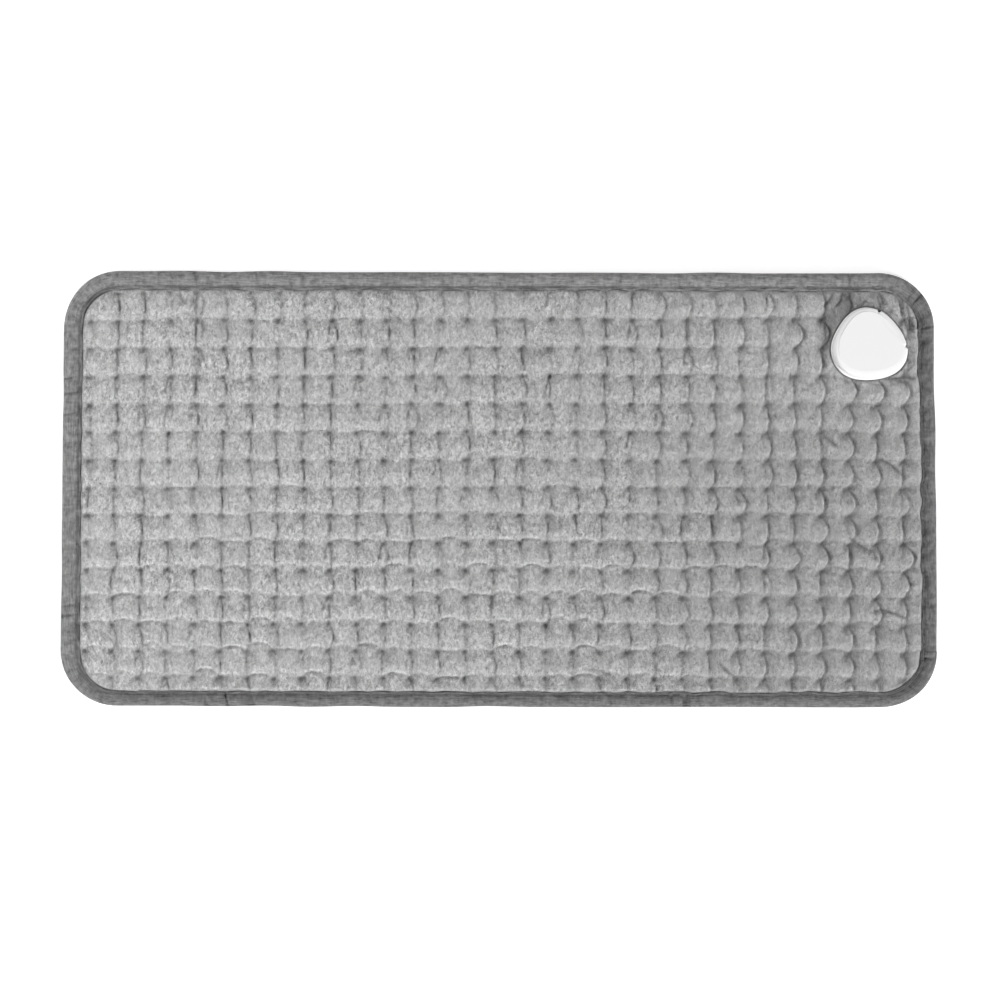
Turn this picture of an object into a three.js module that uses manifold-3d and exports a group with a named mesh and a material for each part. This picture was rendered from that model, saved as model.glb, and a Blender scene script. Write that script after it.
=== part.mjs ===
// A flat electric heating pad. Tufted fabric covers hold a heating wire between two sheets,
// a tape binds the edge, and a moulded housing near one corner holds the inlet socket.
// Millimetres. X runs along the pad, Y across it, and Z up from its underside.
// The origin is on the underside, in the middle of the pad.

import * as THREE from "three";
import { mergeVertices } from "three/addons/utils/BufferGeometryUtils.js";
import Module from "manifold-3d";

const wasm = await Module();
wasm.setup();

// Driving sizes of the pad
const padLength = 610;
const padWidth = 305;
const cornerRadius = 40;

// Clearances
const gap = 0.3;
const overrun = 2;
const mergeDistance = 0.0001;

// Fabric layers, from the underside up
const coverThickness = 2;
const sheetThickness = 0.8;
const wireSpace = 2.8;
const battingThickness = 0.8;
const plushThickness = 0.8;
const puff = 4.4;

// Edge binding and its stitching
const bindingWidth = 13;
const tapeThickness = 0.8;
const edgeRound = 3;
const foldInset = 2.2;
const stitchInset = 11.5;
const stitchWidth = 0.7;
const stitchHeight = 0.4;

// Tacks of the top cover
const tackPitchX = 18.9;
const tackPitchY = 19.2;
const tackShiftX = -2.4;
const tackShiftY = 2.8;
const leastPillowShare = 0.35;

// Heater sheets and batting, inside the binding
const sheetInset = 6;
const battingInset = 9;

// Heating wire, its leads and joints
const wireRadius = 1.1;
const leadRadius = 1;
const leftTurnFromEdge = 34;
const rightTurnFromEdge = 41;
const marginWireFromEdge = 21;
const marginTurnRadius = 12;
const shortTurnFromRim = 23.9;
const supplySpliceFromRim = 28.9;
const returnSpliceFromRim = 22.9;
const leadBerth = 9;
const leadTail = 7;
const leadTurn = 6;
const leadTurnShare = 0.15;
const leadBoardSide = 3;
const leadClampSide = 2;
const leadRest = 2.7;
const leadStraight = 0.8;
const spliceLength = 12;
const spliceWall = 0.5;
const cutoutLength = 10;
const cutoutWidth = 4.6;
const cutoutHeight = 2.6;
const cutoutLead = 11;
const sleeveLength = 16;
const sleeveWall = 0.4;
const windowMargin = 1;

// Socket housing: place, outline and heights
const housingFromRight = 48;
const housingFromTop = 52.5;
const mouthAngle = THREE.MathUtils.degToRad(40.5);
const pickRadius = 25.1;
const pickLobe = 1.55;
const flangeReach = 1.2;
const flangeThickness = 1.6;
const frameThickness = 1.7;
const frameRound = 0.5;
const frameWidth = 9.6;
const capHeight = 8.8;
const capRound = 2.6;
const capWall = 1.6;
const trayInset = 3.4;
const trayWall = 1.6;
const clampMargin = 4.9;
const clearMargin = 16.9;

// Socket mouth and the shape of the cap over it
const blockBack = 5;
const blockHalfWidth = 13.6;
const blockWall = 1;
const blockBackWall = 1.6;
const blockSetback = 0.6;
const browStep = 0.8;
const browHalfWidth = 14.3;
const browBack = 15;
const reliefRadius = 32.3;
const reliefReach = 16.2;
const reliefDepth = 0.5;
const notchRadius = 1;
const notchOut = 19.9;
const notchSide = 15.5;

// Contacts and their board
const bladeSpacing = 7;
const bladeThickness = 1.2;
const bladeHeight = 2;
const bladeTip = 15.5;
const bladeTailBack = 0.2;
const bladeTailWidth = 2.2;
const boardBack = -6.5;
const boardFront = 3;
const boardHalfWidth = 9.5;
const boardThickness = 1.6;
const boardLevel = 5.3;
const standoffWidth = 2;
const standoffInset = 1.5;

// Main screws, and the four bosses they stand in
const screwRadius = 1.3;
const screwHeadRadius = 2.7;
const screwHeadHeight = 1.5;
const screwSink = 0.5;
const screwLength = 14;
const recessWidth = 0.7;
const recessDepth = 0.9;
const recessShare = 0.6;
const bossRadius = 4.2;
const postRadius = 3;
const frontBossInset = 6.6;
const frontBossAngle = THREE.MathUtils.degToRad(75);
const rearBossInset = 8.5;
const rearBossAngle = THREE.MathUtils.degToRad(140);
const bossClearance = 0.2;

// Lead clamp
const clampBack = -15.8;
const clampFront = -12.3;
const clampHalfWidth = 6.2;
const clampThickness = 1.5;
const clampBlockInner = 3.6;
const clampScrewSide = 4.7;
const clampScrewRadius = 0.7;
const clampScrewHeadRadius = 1.2;
const clampScrewHeadHeight = 0.9;
const clampScrewDepth = 3;
const leadNotchHalfWidth = 4.2;

// Facet counts
const cornerFacets = 6;
const pickFacets = 30;
const roundFacets = 16;
const wireFacets = 6;
const leadFacets = 8;
const turnSteps = 6;
const leadSteps = 30;
const bevelSteps = 2;
const reliefFacets = 72;

// Heights worked out from the layers
const wireFloor = coverThickness + sheetThickness;
const wireRoof = wireFloor + wireSpace;
const wireLevel = (wireFloor + wireRoof) / 2;
const battingBase = wireRoof + sheetThickness;
const plushBase = battingBase + battingThickness;
const tackLevel = plushBase + plushThickness;
const bindingInnerTop = tackLevel + gap;
const bindingTop = bindingInnerTop + tapeThickness;
const bindingFloor = tapeThickness + gap;

// Heights and places of the housing
const housingX = padLength / 2 - housingFromRight;
const housingY = padWidth / 2 - housingFromTop;
const frameBase = tackLevel + gap;
const frameTop = frameBase + frameThickness;
const trayTop = frameBase - gap;
const capBase = frameTop + gap;
const capTop = capBase + capHeight;
const capCeiling = capTop - capWall;
const blockBase = capBase;
const blockTop = capCeiling - gap;
const bladeLevel = (blockBase + blockTop) / 2;
const boardTop = boardLevel + boardThickness;
const leadLevel = boardTop + gap + leadRadius;
const clampBase = wireLevel + leadRadius + gap;
const saddleTop = wireLevel - leadRadius - gap;

// Reaches from the middle of the housing
const clampReach = pickRadius + clampMargin;
const clearReach = pickRadius + clearMargin;
const clampMiddle = (clampBack + clampFront) / 2;

// The bosses stand in from the rim, and clear of the socket block and the lead clamp.
const frontBossLeast = (blockHalfWidth + postRadius + bossClearance) / Math.sin(frontBossAngle);
const rearBossLeast = (clampHalfWidth + bossRadius + bossClearance) / Math.sin(rearBossAngle);
const frontBossOut = Math.max(pickRadius - frontBossInset, frontBossLeast);
const rearBossOut = Math.max(pickRadius - rearBossInset, rearBossLeast);

// Insets
const seamInset = bindingWidth + gap;
const seamX = padLength / 2 - seamInset;
const seamY = padWidth / 2 - seamInset;
const marginInset = foldInset + gap;

// Whole counts of tacks that fit inside the seam
const tackColumns = Math.floor((2 * seamX) / tackPitchX) + 1;
const tackRows = Math.floor((2 * seamY) / tackPitchY) + 1;
const wireRows = 2 * Math.floor((tackRows - 1) / 2);

// Booleans on closed geometry

function solidFrom(geometry) {
  const bare = geometry.clone();
  bare.deleteAttribute("normal");
  bare.deleteAttribute("uv");
  const merged = mergeVertices(bare, mergeDistance);
  const vertProperties = new Float32Array(merged.getAttribute("position").array);
  const triVerts = new Uint32Array(merged.getIndex().array);
  return new wasm.Manifold(new wasm.Mesh({ numProp: 3, vertProperties, triVerts }));
}

function geometryFrom(solid) {
  const mesh = solid.getMesh();
  const geometry = new THREE.BufferGeometry();
  const positions = new Float32Array(mesh.vertProperties);
  geometry.setAttribute("position", new THREE.BufferAttribute(positions, 3));
  geometry.setIndex(new THREE.BufferAttribute(new Uint32Array(mesh.triVerts), 1));
  geometry.computeVertexNormals();
  return geometry;
}

function join(first, ...others) {
  return geometryFrom(others.reduce((sum, g) => sum.add(solidFrom(g)), solidFrom(first)));
}

function cut(first, ...tools) {
  return geometryFrom(tools.reduce((rest, g) => rest.subtract(solidFrom(g)), solidFrom(first)));
}

function keep(first, tool) {
  return geometryFrom(solidFrom(first).intersect(solidFrom(tool)));
}

// Basic shapes

function closedGeometry(points, faces) {
  const geometry = new THREE.BufferGeometry();
  geometry.setAttribute("position", new THREE.Float32BufferAttribute(points, 3));
  geometry.setIndex(faces);
  return geometry;
}

function block(x0, x1, y0, y1, z0, z1) {
  const box = new THREE.BoxGeometry(x1 - x0, y1 - y0, z1 - z0);
  return box.translate((x0 + x1) / 2, (y0 + y1) / 2, (z0 + z1) / 2);
}

function rod(x, y, bottom, top, radius, facets = roundFacets) {
  const cylinder = new THREE.CylinderGeometry(radius, radius, top - bottom, facets);
  return cylinder.rotateX(Math.PI / 2).translate(x, y, (bottom + top) / 2);
}

// The pad's outline, drawn in from the edge by an inset.
function padOutline(inset) {
  const x = padLength / 2 - inset;
  const y = padWidth / 2 - inset;
  const r = Math.max(cornerRadius - inset, gap);
  const outline = new THREE.Shape();
  outline.absarc(x - r, y - r, r, 0, Math.PI / 2);
  outline.absarc(r - x, y - r, r, Math.PI / 2, Math.PI);
  outline.absarc(r - x, r - y, r, Math.PI, 1.5 * Math.PI);
  outline.absarc(x - r, r - y, r, 1.5 * Math.PI, 2 * Math.PI);
  return outline;
}

function plate(inset, bottom, top) {
  const options = { depth: top - bottom, bevelEnabled: false, curveSegments: cornerFacets };
  return new THREE.ExtrudeGeometry(padOutline(inset), options).translate(0, 0, bottom);
}

// A round section swept along a path whose steps are even in the path's own parameter.
function tube(path, radius, facets, steps) {
  const corners = Array.from({ length: facets }, (unused, i) => {
    const angle = (2 * Math.PI * i) / facets;
    return new THREE.Vector2(radius * Math.cos(angle), radius * Math.sin(angle));
  });
  const options = { steps, extrudePath: path, bevelEnabled: false };
  return new THREE.ExtrudeGeometry(new THREE.Shape(corners), options);
}

// The housing's outline is a circle with three soft corners: the radius swings by pickLobe
// three times round, and the socket mouth is in the middle of the side at angle zero.
function pickAt(angle, grow) {
  const r = pickRadius + grow - pickLobe * Math.cos(3 * angle);
  return [r * Math.cos(angle), r * Math.sin(angle)];
}

// A closed solid of housing outlines stacked at the given heights, each [height, grow].
function pickSolid(levels) {
  const points = [];
  const faces = [];
  levels.forEach(([z, grow]) => {
    for (let i = 0; i < pickFacets; i++) {
      points.push(...pickAt((2 * Math.PI * i) / pickFacets, grow), z);
    }
  });
  const last = levels.length - 1;
  const bottomMiddle = levels.length * pickFacets;
  const topMiddle = bottomMiddle + 1;
  points.push(0, 0, levels[0][0], 0, 0, levels[last][0]);
  for (let i = 0; i < pickFacets; i++) {
    const j = (i + 1) % pickFacets;
    for (let ring = 0; ring < last; ring++) {
      const low = ring * pickFacets;
      const high = low + pickFacets;
      faces.push(low + i, low + j, high + j, low + i, high + j, high + i);
    }
    faces.push(bottomMiddle, j, i);
    faces.push(topMiddle, last * pickFacets + i, last * pickFacets + j);
  }
  return closedGeometry(points, faces);
}

// Levels of the cap's outside: a straight skirt, then a quarter round to the flat top.
function capLevels(grow) {
  const levels = [[capBase, grow]];
  for (let i = 0; i <= bevelSteps + 1; i++) {
    const turn = (Math.PI / 2) * (i / (bevelSteps + 1));
    const drawnIn = capRound * (1 - Math.cos(turn));
    levels.push([capTop - capRound + capRound * Math.sin(turn), grow - drawnIn]);
  }
  return levels;
}

function bossPlaces() {
  return [
    [frontBossOut, frontBossAngle],
    [frontBossOut, -frontBossAngle],
    [rearBossOut, rearBossAngle],
    [rearBossOut, -rearBossAngle],
  ].map(([out, angle]) => [out * Math.cos(angle), out * Math.sin(angle)]);
}

function bossRods(bottom, top, radius) {
  return bossPlaces().map(([x, y]) => rod(x, y, bottom, top, radius));
}

// Moves a shape from the housing's own frame to the pad's.
function atHousing(geometry) {
  return geometry.rotateZ(mouthAngle).translate(housingX, housingY, 0);
}

function housingPoint(out, side, z) {
  const point = new THREE.Vector3(out, side, z);
  point.applyAxisAngle(new THREE.Vector3(0, 0, 1), mouthAngle);
  return point.add(new THREE.Vector3(housingX, housingY, 0));
}

// Rows of the heating wire lie midway between the rows of tacks, counted from the top.
function wireRowY(row) {
  return tackShiftY + (wireRows / 2 - 0.5 - row) * tackPitchY;
}

// X where a row ends in a turn: even rows run to the left, odd rows to the right, and
// the rows beside the housing turn back before it.
function turnX(row) {
  if (row % 2 === 0) {
    return leftTurnFromEdge - padLength / 2;
  }
  const besideHousing = wireRowY(row) > housingY - pickRadius - flangeReach;
  if (besideHousing) {
    return housingX - pickRadius - shortTurnFromRim;
  }
  return padLength / 2 - rightTurnFromEdge;
}

// A path of legs, each with its own number of steps.
class SteppedPath extends THREE.Curve {
  constructor(legs) {
    super();
    this.legs = legs;
    this.steps = legs.reduce((sum, leg) => sum + leg.steps, 0);
  }
  getPoint(t, target = new THREE.Vector3()) {
    let place = t * this.steps;
    let index = 0;
    while (index < this.legs.length - 1 && place > this.legs[index].steps) {
      place -= this.legs[index].steps;
      index += 1;
    }
    return target.copy(this.legs[index].at(place / this.legs[index].steps));
  }
  getUtoTmapping(u) {
    return u;
  }
}

function straightLeg(x0, y0, x1, y1) {
  const start = new THREE.Vector3(x0, y0, wireLevel);
  const end = new THREE.Vector3(x1, y1, wireLevel);
  return { steps: 1, at: (t) => start.clone().lerp(end, t) };
}

function arcLeg(x, y, radius, from, to, steps) {
  const at = (t) => {
    const angle = from + (to - from) * t;
    return new THREE.Vector3(x + radius * Math.cos(angle), y + radius * Math.sin(angle), wireLevel);
  };
  return { steps, at };
}

function turnLeg(row) {
  const side = row % 2 === 0 ? -1 : 1;
  const y = (wireRowY(row) + wireRowY(row + 1)) / 2;
  const to = Math.PI / 2 - side * Math.PI;
  return arcLeg(turnX(row), y, tackPitchY / 2, Math.PI / 2, to, turnSteps);
}

// The wire's rows and turns from one place on a row to another on a later row.
function wireLegs(firstRow, startX, lastRow, endX) {
  const legs = [];
  for (let row = firstRow; row <= lastRow; row++) {
    const from = row === firstRow ? startX : turnX(row - 1);
    const to = row === lastRow ? endX : turnX(row);
    legs.push(straightLeg(from, wireRowY(row), to, wireRowY(row)));
    if (row < lastRow) {
      legs.push(turnLeg(row));
    }
  }
  return legs;
}

// Rows that carry a thermal cut-out, a third and two thirds of the way down the pad.
const cutoutRows = [Math.round(wireRows / 3) - 1, Math.round((2 * wireRows) / 3)];
const cutoutReach = cutoutLength / 2 + cutoutLead;
const lastRow = wireRows - 1;
const marginWireX = padLength / 2 - marginWireFromEdge;
const supplySpliceX = housingX - pickRadius - supplySpliceFromRim;
const returnSpliceY = housingY - pickRadius - returnSpliceFromRim;

// X where the wire stops at a cut-out, before or after it in the wire's own direction.
function wireStopX(row, after) {
  const direction = row % 2 === 0 ? -1 : 1;
  return tackShiftX + direction * (after ? 1 : -1) * (cutoutReach + gap);
}

function marginLegs() {
  const y = wireRowY(lastRow) + marginTurnRadius;
  const x = marginWireX - marginTurnRadius;
  return [
    arcLeg(x, y, marginTurnRadius, -Math.PI / 2, 0, turnSteps),
    straightLeg(marginWireX, y, marginWireX, returnSpliceY),
  ];
}

function heatingWires() {
  const [upper, lower] = cutoutRows;
  const marginTurnX = marginWireX - marginTurnRadius;
  const sections = [
    wireLegs(0, supplySpliceX, upper, wireStopX(upper, false)),
    wireLegs(upper, wireStopX(upper, true), lower, wireStopX(lower, false)),
    [...wireLegs(lower, wireStopX(lower, true), lastRow, marginTurnX), ...marginLegs()],
  ];
  return sections.map((legs) => {
    const path = new SteppedPath(legs);
    return tube(path, wireRadius, wireFacets, path.steps);
  });
}

// The leads go from the board down to the clamp. Each place is [way, fall, side step].
const leadFallShares = [[0, 0, 0], [0.42, -0.05, 0.3], [0.73, 0.5, 0.5], [1, 1, 0.8]];

// Places of the leads round the housing. Each is an angle in degrees and a share of
// leadBerth, which is measured out from pickRadius.
const supplyWayShares = [[210, 0.87], [195, 1], [170, 1], [150, 1.6]];
const returnWayShares = [[227, 0.55], [235, 0.65], [245, 0.4], [270, 0.1], [298, 0.5], [307, 1.3]];

function leadFromBoard(side) {
  const start = boardBack + leadRest;
  const end = clampFront + leadStraight;
  const fall = leadFallShares.map(([way, drop, inward]) => {
    const out = start + way * (end - start);
    const beside = leadBoardSide + inward * (leadClampSide - leadBoardSide);
    return housingPoint(out, side * beside, leadLevel + drop * (wireLevel - leadLevel));
  });
  const exit = -pickRadius - pickLobe;
  const behind = [clampMiddle, (clampMiddle + exit) / 2, exit];
  return [...fall, ...behind.map((out) => housingPoint(out, side * leadClampSide, wireLevel))];
}

function leadRoundHousing(wayShares) {
  return wayShares.map(([degrees, share]) => {
    const angle = THREE.MathUtils.degToRad(degrees);
    const out = pickRadius + share * leadBerth;
    const x = housingX + out * Math.cos(angle);
    const y = housingY + out * Math.sin(angle);
    return new THREE.Vector3(x, y, wireLevel);
  });
}

function leadAlong(points) {
  return tube(new THREE.CatmullRomCurve3(points), leadRadius, leadFacets, leadSteps);
}

function supplyLead() {
  const y = wireRowY(0);
  const x = supplySpliceX + leadTail;
  return leadAlong([
    ...leadFromBoard(1),
    ...leadRoundHousing(supplyWayShares),
    new THREE.Vector3(x + leadTurn, y - leadTurnShare * leadTurn, wireLevel),
    new THREE.Vector3(x, y, wireLevel),
    new THREE.Vector3(supplySpliceX + gap, y, wireLevel),
  ]);
}

function returnLead() {
  const x = marginWireX;
  const y = returnSpliceY + leadTail;
  return leadAlong([
    ...leadFromBoard(-1),
    ...leadRoundHousing(returnWayShares),
    new THREE.Vector3(x - leadTurnShare * leadTurn, y + leadTurn, wireLevel),
    new THREE.Vector3(x, y, wireLevel),
    new THREE.Vector3(x, returnSpliceY + gap, wireLevel),
  ]);
}

// A splice is a plain tube over two wire ends, made along X and turned if asked.
function splice(x, y, turned) {
  const inner = wireRadius + gap;
  const outer = inner + spliceWall;
  const half = spliceLength / 2;
  const profile = [
    [inner, -half],
    [outer, -half],
    [outer, half],
    [inner, half],
    [inner, -half],
  ].map(([r, z]) => new THREE.Vector2(r, z));
  const ring = new THREE.LatheGeometry(profile, roundFacets);
  if (!turned) {
    ring.rotateZ(Math.PI / 2);
  }
  return ring.translate(x, y, wireLevel);
}

// Places of the splices, each [x, y, turned]: the supply end, both sides of each
// cut-out, and the return end in the right-hand margin.
function splicePlaces() {
  const reach = cutoutReach + gap / 2;
  const besideCutouts = cutoutRows.flatMap((row) => [
    [tackShiftX + reach, wireRowY(row), false],
    [tackShiftX - reach, wireRowY(row), false],
  ]);
  return [
    [supplySpliceX, wireRowY(0), false],
    ...besideCutouts,
    [marginWireX, returnSpliceY, true],
  ];
}

// A thermal cut-out: a flat metal can with a lead at each end.
function thermalCutout(row) {
  const y = wireRowY(row);
  const can = block(
    tackShiftX - cutoutLength / 2,
    tackShiftX + cutoutLength / 2,
    y - cutoutWidth / 2,
    y + cutoutWidth / 2,
    wireLevel - cutoutHeight / 2,
    wireLevel + cutoutHeight / 2,
  );
  const lead = new THREE.CylinderGeometry(leadRadius, leadRadius, 2 * cutoutReach, leadFacets);
  lead.rotateZ(Math.PI / 2).translate(tackShiftX, y, wireLevel);
  return join(can, lead);
}

// The insulating sleeve drawn over a cut-out's can.
function cutoutSleeve(row) {
  const y = wireRowY(row);
  const layer = (margin, half) =>
    block(
      tackShiftX - half,
      tackShiftX + half,
      y - cutoutWidth / 2 - margin,
      y + cutoutWidth / 2 + margin,
      wireLevel - cutoutHeight / 2 - margin,
      wireLevel + cutoutHeight / 2 + margin,
    );
  const half = sleeveLength / 2;
  return cut(layer(gap + sleeveWall, half), layer(gap, half + overrun));
}

// Windows in the heater sheets, so that splices and cut-outs have room.
function sheetWindows(bottom, top) {
  const window = (x, y, length, width) =>
    block(x - length / 2, x + length / 2, y - width / 2, y + width / 2, bottom, top);
  const along = spliceLength + 2 * windowMargin;
  const across = 2 * (wireRadius + gap + spliceWall + windowMargin);
  const forSplices = splicePlaces().map(([x, y, turned]) =>
    turned ? window(x, y, across, along) : window(x, y, along, across),
  );
  const length = sleeveLength + 2 * windowMargin;
  const width = cutoutWidth + 2 * (gap + sleeveWall + windowMargin);
  const forCutouts = cutoutRows.map((row) => window(tackShiftX, wireRowY(row), length, width));
  return [...forSplices, ...forCutouts];
}

// Fabric layers

function trayHole(bottom, top) {
  const grow = gap - trayInset;
  return atHousing(pickSolid([[bottom, grow], [top, grow]]));
}

function bottomCover() {
  const grow = flangeReach + gap;
  const hole = atHousing(pickSolid([[-overrun, grow], [coverThickness + overrun, grow]]));
  const middle = plate(seamInset, 0, coverThickness);
  return cut(join(middle, plate(marginInset, bindingFloor, coverThickness)), hole);
}

function heaterSheet(bottom) {
  const top = bottom + sheetThickness;
  const sheet = plate(sheetInset, bottom, top);
  const windows = sheetWindows(bottom - gap, top + gap);
  return cut(sheet, trayHole(bottom - overrun, top + overrun), ...windows);
}

function batting() {
  const sheet = plate(battingInset, battingBase, plushBase);
  return cut(sheet, trayHole(battingBase - overrun, plushBase + overrun));
}

// Lines of the tack grid along one axis, with the seam at both ends.
function gridLines(count, pitch, shift, seam) {
  const first = shift - ((count - 1) / 2) * pitch;
  const lines = Array.from({ length: count }, (unused, i) => first + i * pitch);
  return [-seam, ...lines, seam];
}

// How far the cover's fill rises at a place: pressed flat round the housing, and free
// again past clearReach.
function riseAt(x, y, rise) {
  const away = Math.hypot(x - housingX, y - housingY);
  return rise * THREE.MathUtils.smoothstep(away, clampReach, clearReach);
}

function insideSeam(x, y) {
  const radius = cornerRadius - seamInset;
  const dx = Math.abs(x) - (seamX - radius);
  const dy = Math.abs(y) - (seamY - radius);
  return dx <= 0 || dy <= 0 || Math.hypot(dx, dy) <= radius;
}

// The tufted top: four tacks at the corners of each pillow and one crown in its middle.
// Narrow cells, and cells cut by the round corners of the seam, stay flat.
function pillows() {
  const xs = gridLines(tackColumns, tackPitchX, tackShiftX, seamX);
  const ys = gridLines(tackRows, tackPitchY, tackShiftY, seamY);
  const points = [];
  const faces = [];
  const add = (x, y, z) => points.push(x, y, z) / 3 - 1;
  const top = xs.map((x) => ys.map((y) => add(x, y, tackLevel)));
  for (let i = 0; i < xs.length - 1; i++) {
    for (let j = 0; j < ys.length - 1; j++) {
      const corners = [top[i][j], top[i + 1][j], top[i + 1][j + 1], top[i][j + 1]];
      const shareX = (xs[i + 1] - xs[i]) / tackPitchX;
      const shareY = (ys[j + 1] - ys[j]) / tackPitchY;
      const share = Math.min(shareX, shareY, 1);
      const inside = corners.every((v) => insideSeam(points[3 * v], points[3 * v + 1]));
      const x = (xs[i] + xs[i + 1]) / 2;
      const y = (ys[j] + ys[j + 1]) / 2;
      const rise = inside && share >= leastPillowShare ? riseAt(x, y, puff * share) : 0;
      if (rise > 0) {
        const crown = add(x, y, tackLevel + rise);
        corners.forEach((corner, k) => faces.push(corner, corners[(k + 1) % 4], crown));
      } else {
        faces.push(corners[0], corners[1], corners[2], corners[0], corners[2], corners[3]);
      }
    }
  }
  const lastX = xs.length - 1;
  const lastY = ys.length - 1;
  const sides = [
    xs.map((x, i) => top[i][0]),
    ys.map((y, j) => top[lastX][j]),
    xs.map((x, i) => top[lastX - i][lastY]),
    ys.map((y, j) => top[0][lastY - j]),
  ];
  const feet = sides.map(([v]) => add(points[3 * v], points[3 * v + 1], plushBase));
  sides.forEach((side, k) => {
    const nextFoot = feet[(k + 1) % 4];
    side.slice(1).forEach((v, n) => faces.push(feet[k], v, side[n]));
    faces.push(feet[k], nextFoot, side[side.length - 1]);
  });
  faces.push(feet[0], feet[2], feet[1], feet[0], feet[3], feet[2]);
  return closedGeometry(points, faces);
}

function topCover() {
  const tall = tackLevel + puff + overrun;
  const grow = flangeReach + gap;
  const seat = atHousing(pickSolid([[tackLevel, grow], [tall, grow]]));
  const margin = plate(marginInset, plushBase, tackLevel);
  return cut(join(pillows(), margin), seat, trayHole(plushBase - overrun, tall));
}

// The tape folds round the edge of the pad: two legs and a rounded outer fold.
function edgeBinding() {
  const options = {
    depth: bindingTop - 2 * edgeRound,
    bevelThickness: edgeRound,
    bevelSize: edgeRound,
    bevelOffset: -edgeRound,
    bevelSegments: bevelSteps,
    curveSegments: cornerFacets,
  };
  const body = new THREE.ExtrudeGeometry(padOutline(0), options).translate(0, 0, edgeRound);
  const opening = plate(bindingWidth, -overrun, bindingTop + overrun);
  const fold = plate(foldInset, tapeThickness, bindingInnerTop);
  return cut(body, opening, fold);
}

function bindingStitching() {
  const outer = plate(stitchInset - stitchWidth / 2, bindingTop, bindingTop + stitchHeight);
  const inner = plate(stitchInset + stitchWidth / 2, bindingTop - overrun, bindingTop + overrun);
  return cut(outer, inner);
}

// Housing pieces, in the housing's own frame: X out through the mouth, Y across it.

function backShell() {
  const flange = pickSolid([[0, flangeReach], [flangeThickness, flangeReach]]);
  const tray = pickSolid([[0, -trayInset], [trayTop, -trayInset]]);
  const hollowGrow = -trayInset - trayWall;
  const hollow = pickSolid([[flangeThickness, hollowGrow], [trayTop + overrun, hollowGrow]]);
  const saddle = block(clampBack, clampFront, -clampHalfWidth, clampHalfWidth, 0, saddleTop);
  const clampBlocks = [-1, 1].map((side) => {
    const inner = side * clampBlockInner;
    const outer = side * clampHalfWidth;
    const low = Math.min(inner, outer);
    return block(clampBack, clampFront, low, low + clampHalfWidth - clampBlockInner, 0, clampBase - gap);
  });
  const standoffs = [-1, 1].map((side) => {
    const middle = side * (boardHalfWidth - standoffInset);
    const half = standoffWidth / 2;
    const front = boardFront - standoffInset;
    const back = boardBack + standoffInset;
    return block(back, front, middle - half, middle + half, 0, boardLevel - gap);
  });
  const bosses = keep(join(...bossRods(0, trayTop, bossRadius)), tray);
  const body = join(cut(join(flange, tray), hollow), bosses, saddle, ...clampBlocks, ...standoffs);
  const wallOut = -pickRadius - flangeReach;
  const wallIn = clampBack - gap;
  const leadNotch = block(
    wallOut,
    wallIn,
    -leadNotchHalfWidth,
    leadNotchHalfWidth,
    saddleTop,
    trayTop + overrun,
  );
  const holes = bossRods(-overrun, trayTop + overrun, screwRadius + gap);
  const sinks = bossRods(-overrun, screwSink + screwHeadHeight + gap, screwHeadRadius + gap);
  return cut(body, leadNotch, ...holes, ...sinks, ...clampScrewHoles());
}

function clampScrewHoles() {
  const bottom = clampBase - clampScrewDepth - gap;
  const top = clampBase + clampThickness + overrun;
  const radius = clampScrewRadius + gap;
  return [-1, 1].map((side) => rod(clampMiddle, side * clampScrewSide, bottom, top, radius, leadFacets));
}

function leadClamp() {
  const top = clampBase + clampThickness;
  const bar = block(clampBack, clampFront, -clampHalfWidth, clampHalfWidth, clampBase, top);
  return cut(bar, ...clampScrewHoles());
}

function clampFrame() {
  const ring = pickSolid([
    [frameBase, flangeReach],
    [frameTop - frameRound, flangeReach],
    [frameTop, flangeReach - frameRound],
  ]);
  const window = pickSolid([
    [frameBase - overrun, -frameWidth],
    [frameTop + overrun, -frameWidth],
  ]);
  return cut(ring, window, ...bossRods(frameBase - overrun, frameTop + overrun, screwRadius + gap));
}

function cap() {
  const front = pickRadius + pickLobe;
  const brow = keep(
    pickSolid(capLevels(browStep)),
    block(browBack, front, -browHalfWidth, browHalfWidth, capTop - capRound, capTop),
  );
  const hollow = pickSolid([[capBase - overrun, -capWall], [capCeiling, -capWall]]);
  const posts = bossRods(capBase, capCeiling + gap, postRadius);
  const shell = join(cut(pickSolid(capLevels(0)), hollow), brow, ...posts);
  const half = blockHalfWidth + gap;
  const mouth = block(browBack, front, -half, half, capBase - overrun, capCeiling);
  const reliefX = reliefReach + reliefRadius;
  const relief = rod(reliefX, 0, capTop - reliefDepth, capTop + overrun, reliefRadius, reliefFacets);
  const notches = [-1, 1].map((side) =>
    rod(notchOut, side * notchSide, capBase - overrun, capTop + overrun, notchRadius, leadFacets),
  );
  const bores = bossRods(capBase - overrun, screwSink + screwLength + gap, screwRadius + gap);
  return cut(shell, mouth, relief, ...notches, ...bores);
}

function socketBlock() {
  const front = pickRadius;
  const box = block(blockBack, front, -blockHalfWidth, blockHalfWidth, blockBase, blockTop);
  const skin = pickSolid([[blockBase - overrun, -blockSetback], [blockTop + overrun, -blockSetback]]);
  const pocketHalf = blockHalfWidth - blockWall;
  const pocket = block(
    blockBack + blockBackWall,
    front + overrun,
    -pocketHalf,
    pocketHalf,
    blockBase + blockWall,
    blockTop - blockWall,
  );
  const slots = bladeSides().map((side) =>
    block(
      blockBack - overrun,
      blockBack + blockBackWall + overrun,
      side - bladeThickness / 2 - gap,
      side + bladeThickness / 2 + gap,
      bladeLevel - bladeHeight / 2 - gap,
      bladeLevel + bladeHeight / 2 + gap,
    ),
  );
  return cut(keep(box, skin), pocket, ...slots);
}

function bladeSides() {
  return [-bladeSpacing, 0, bladeSpacing];
}

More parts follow.
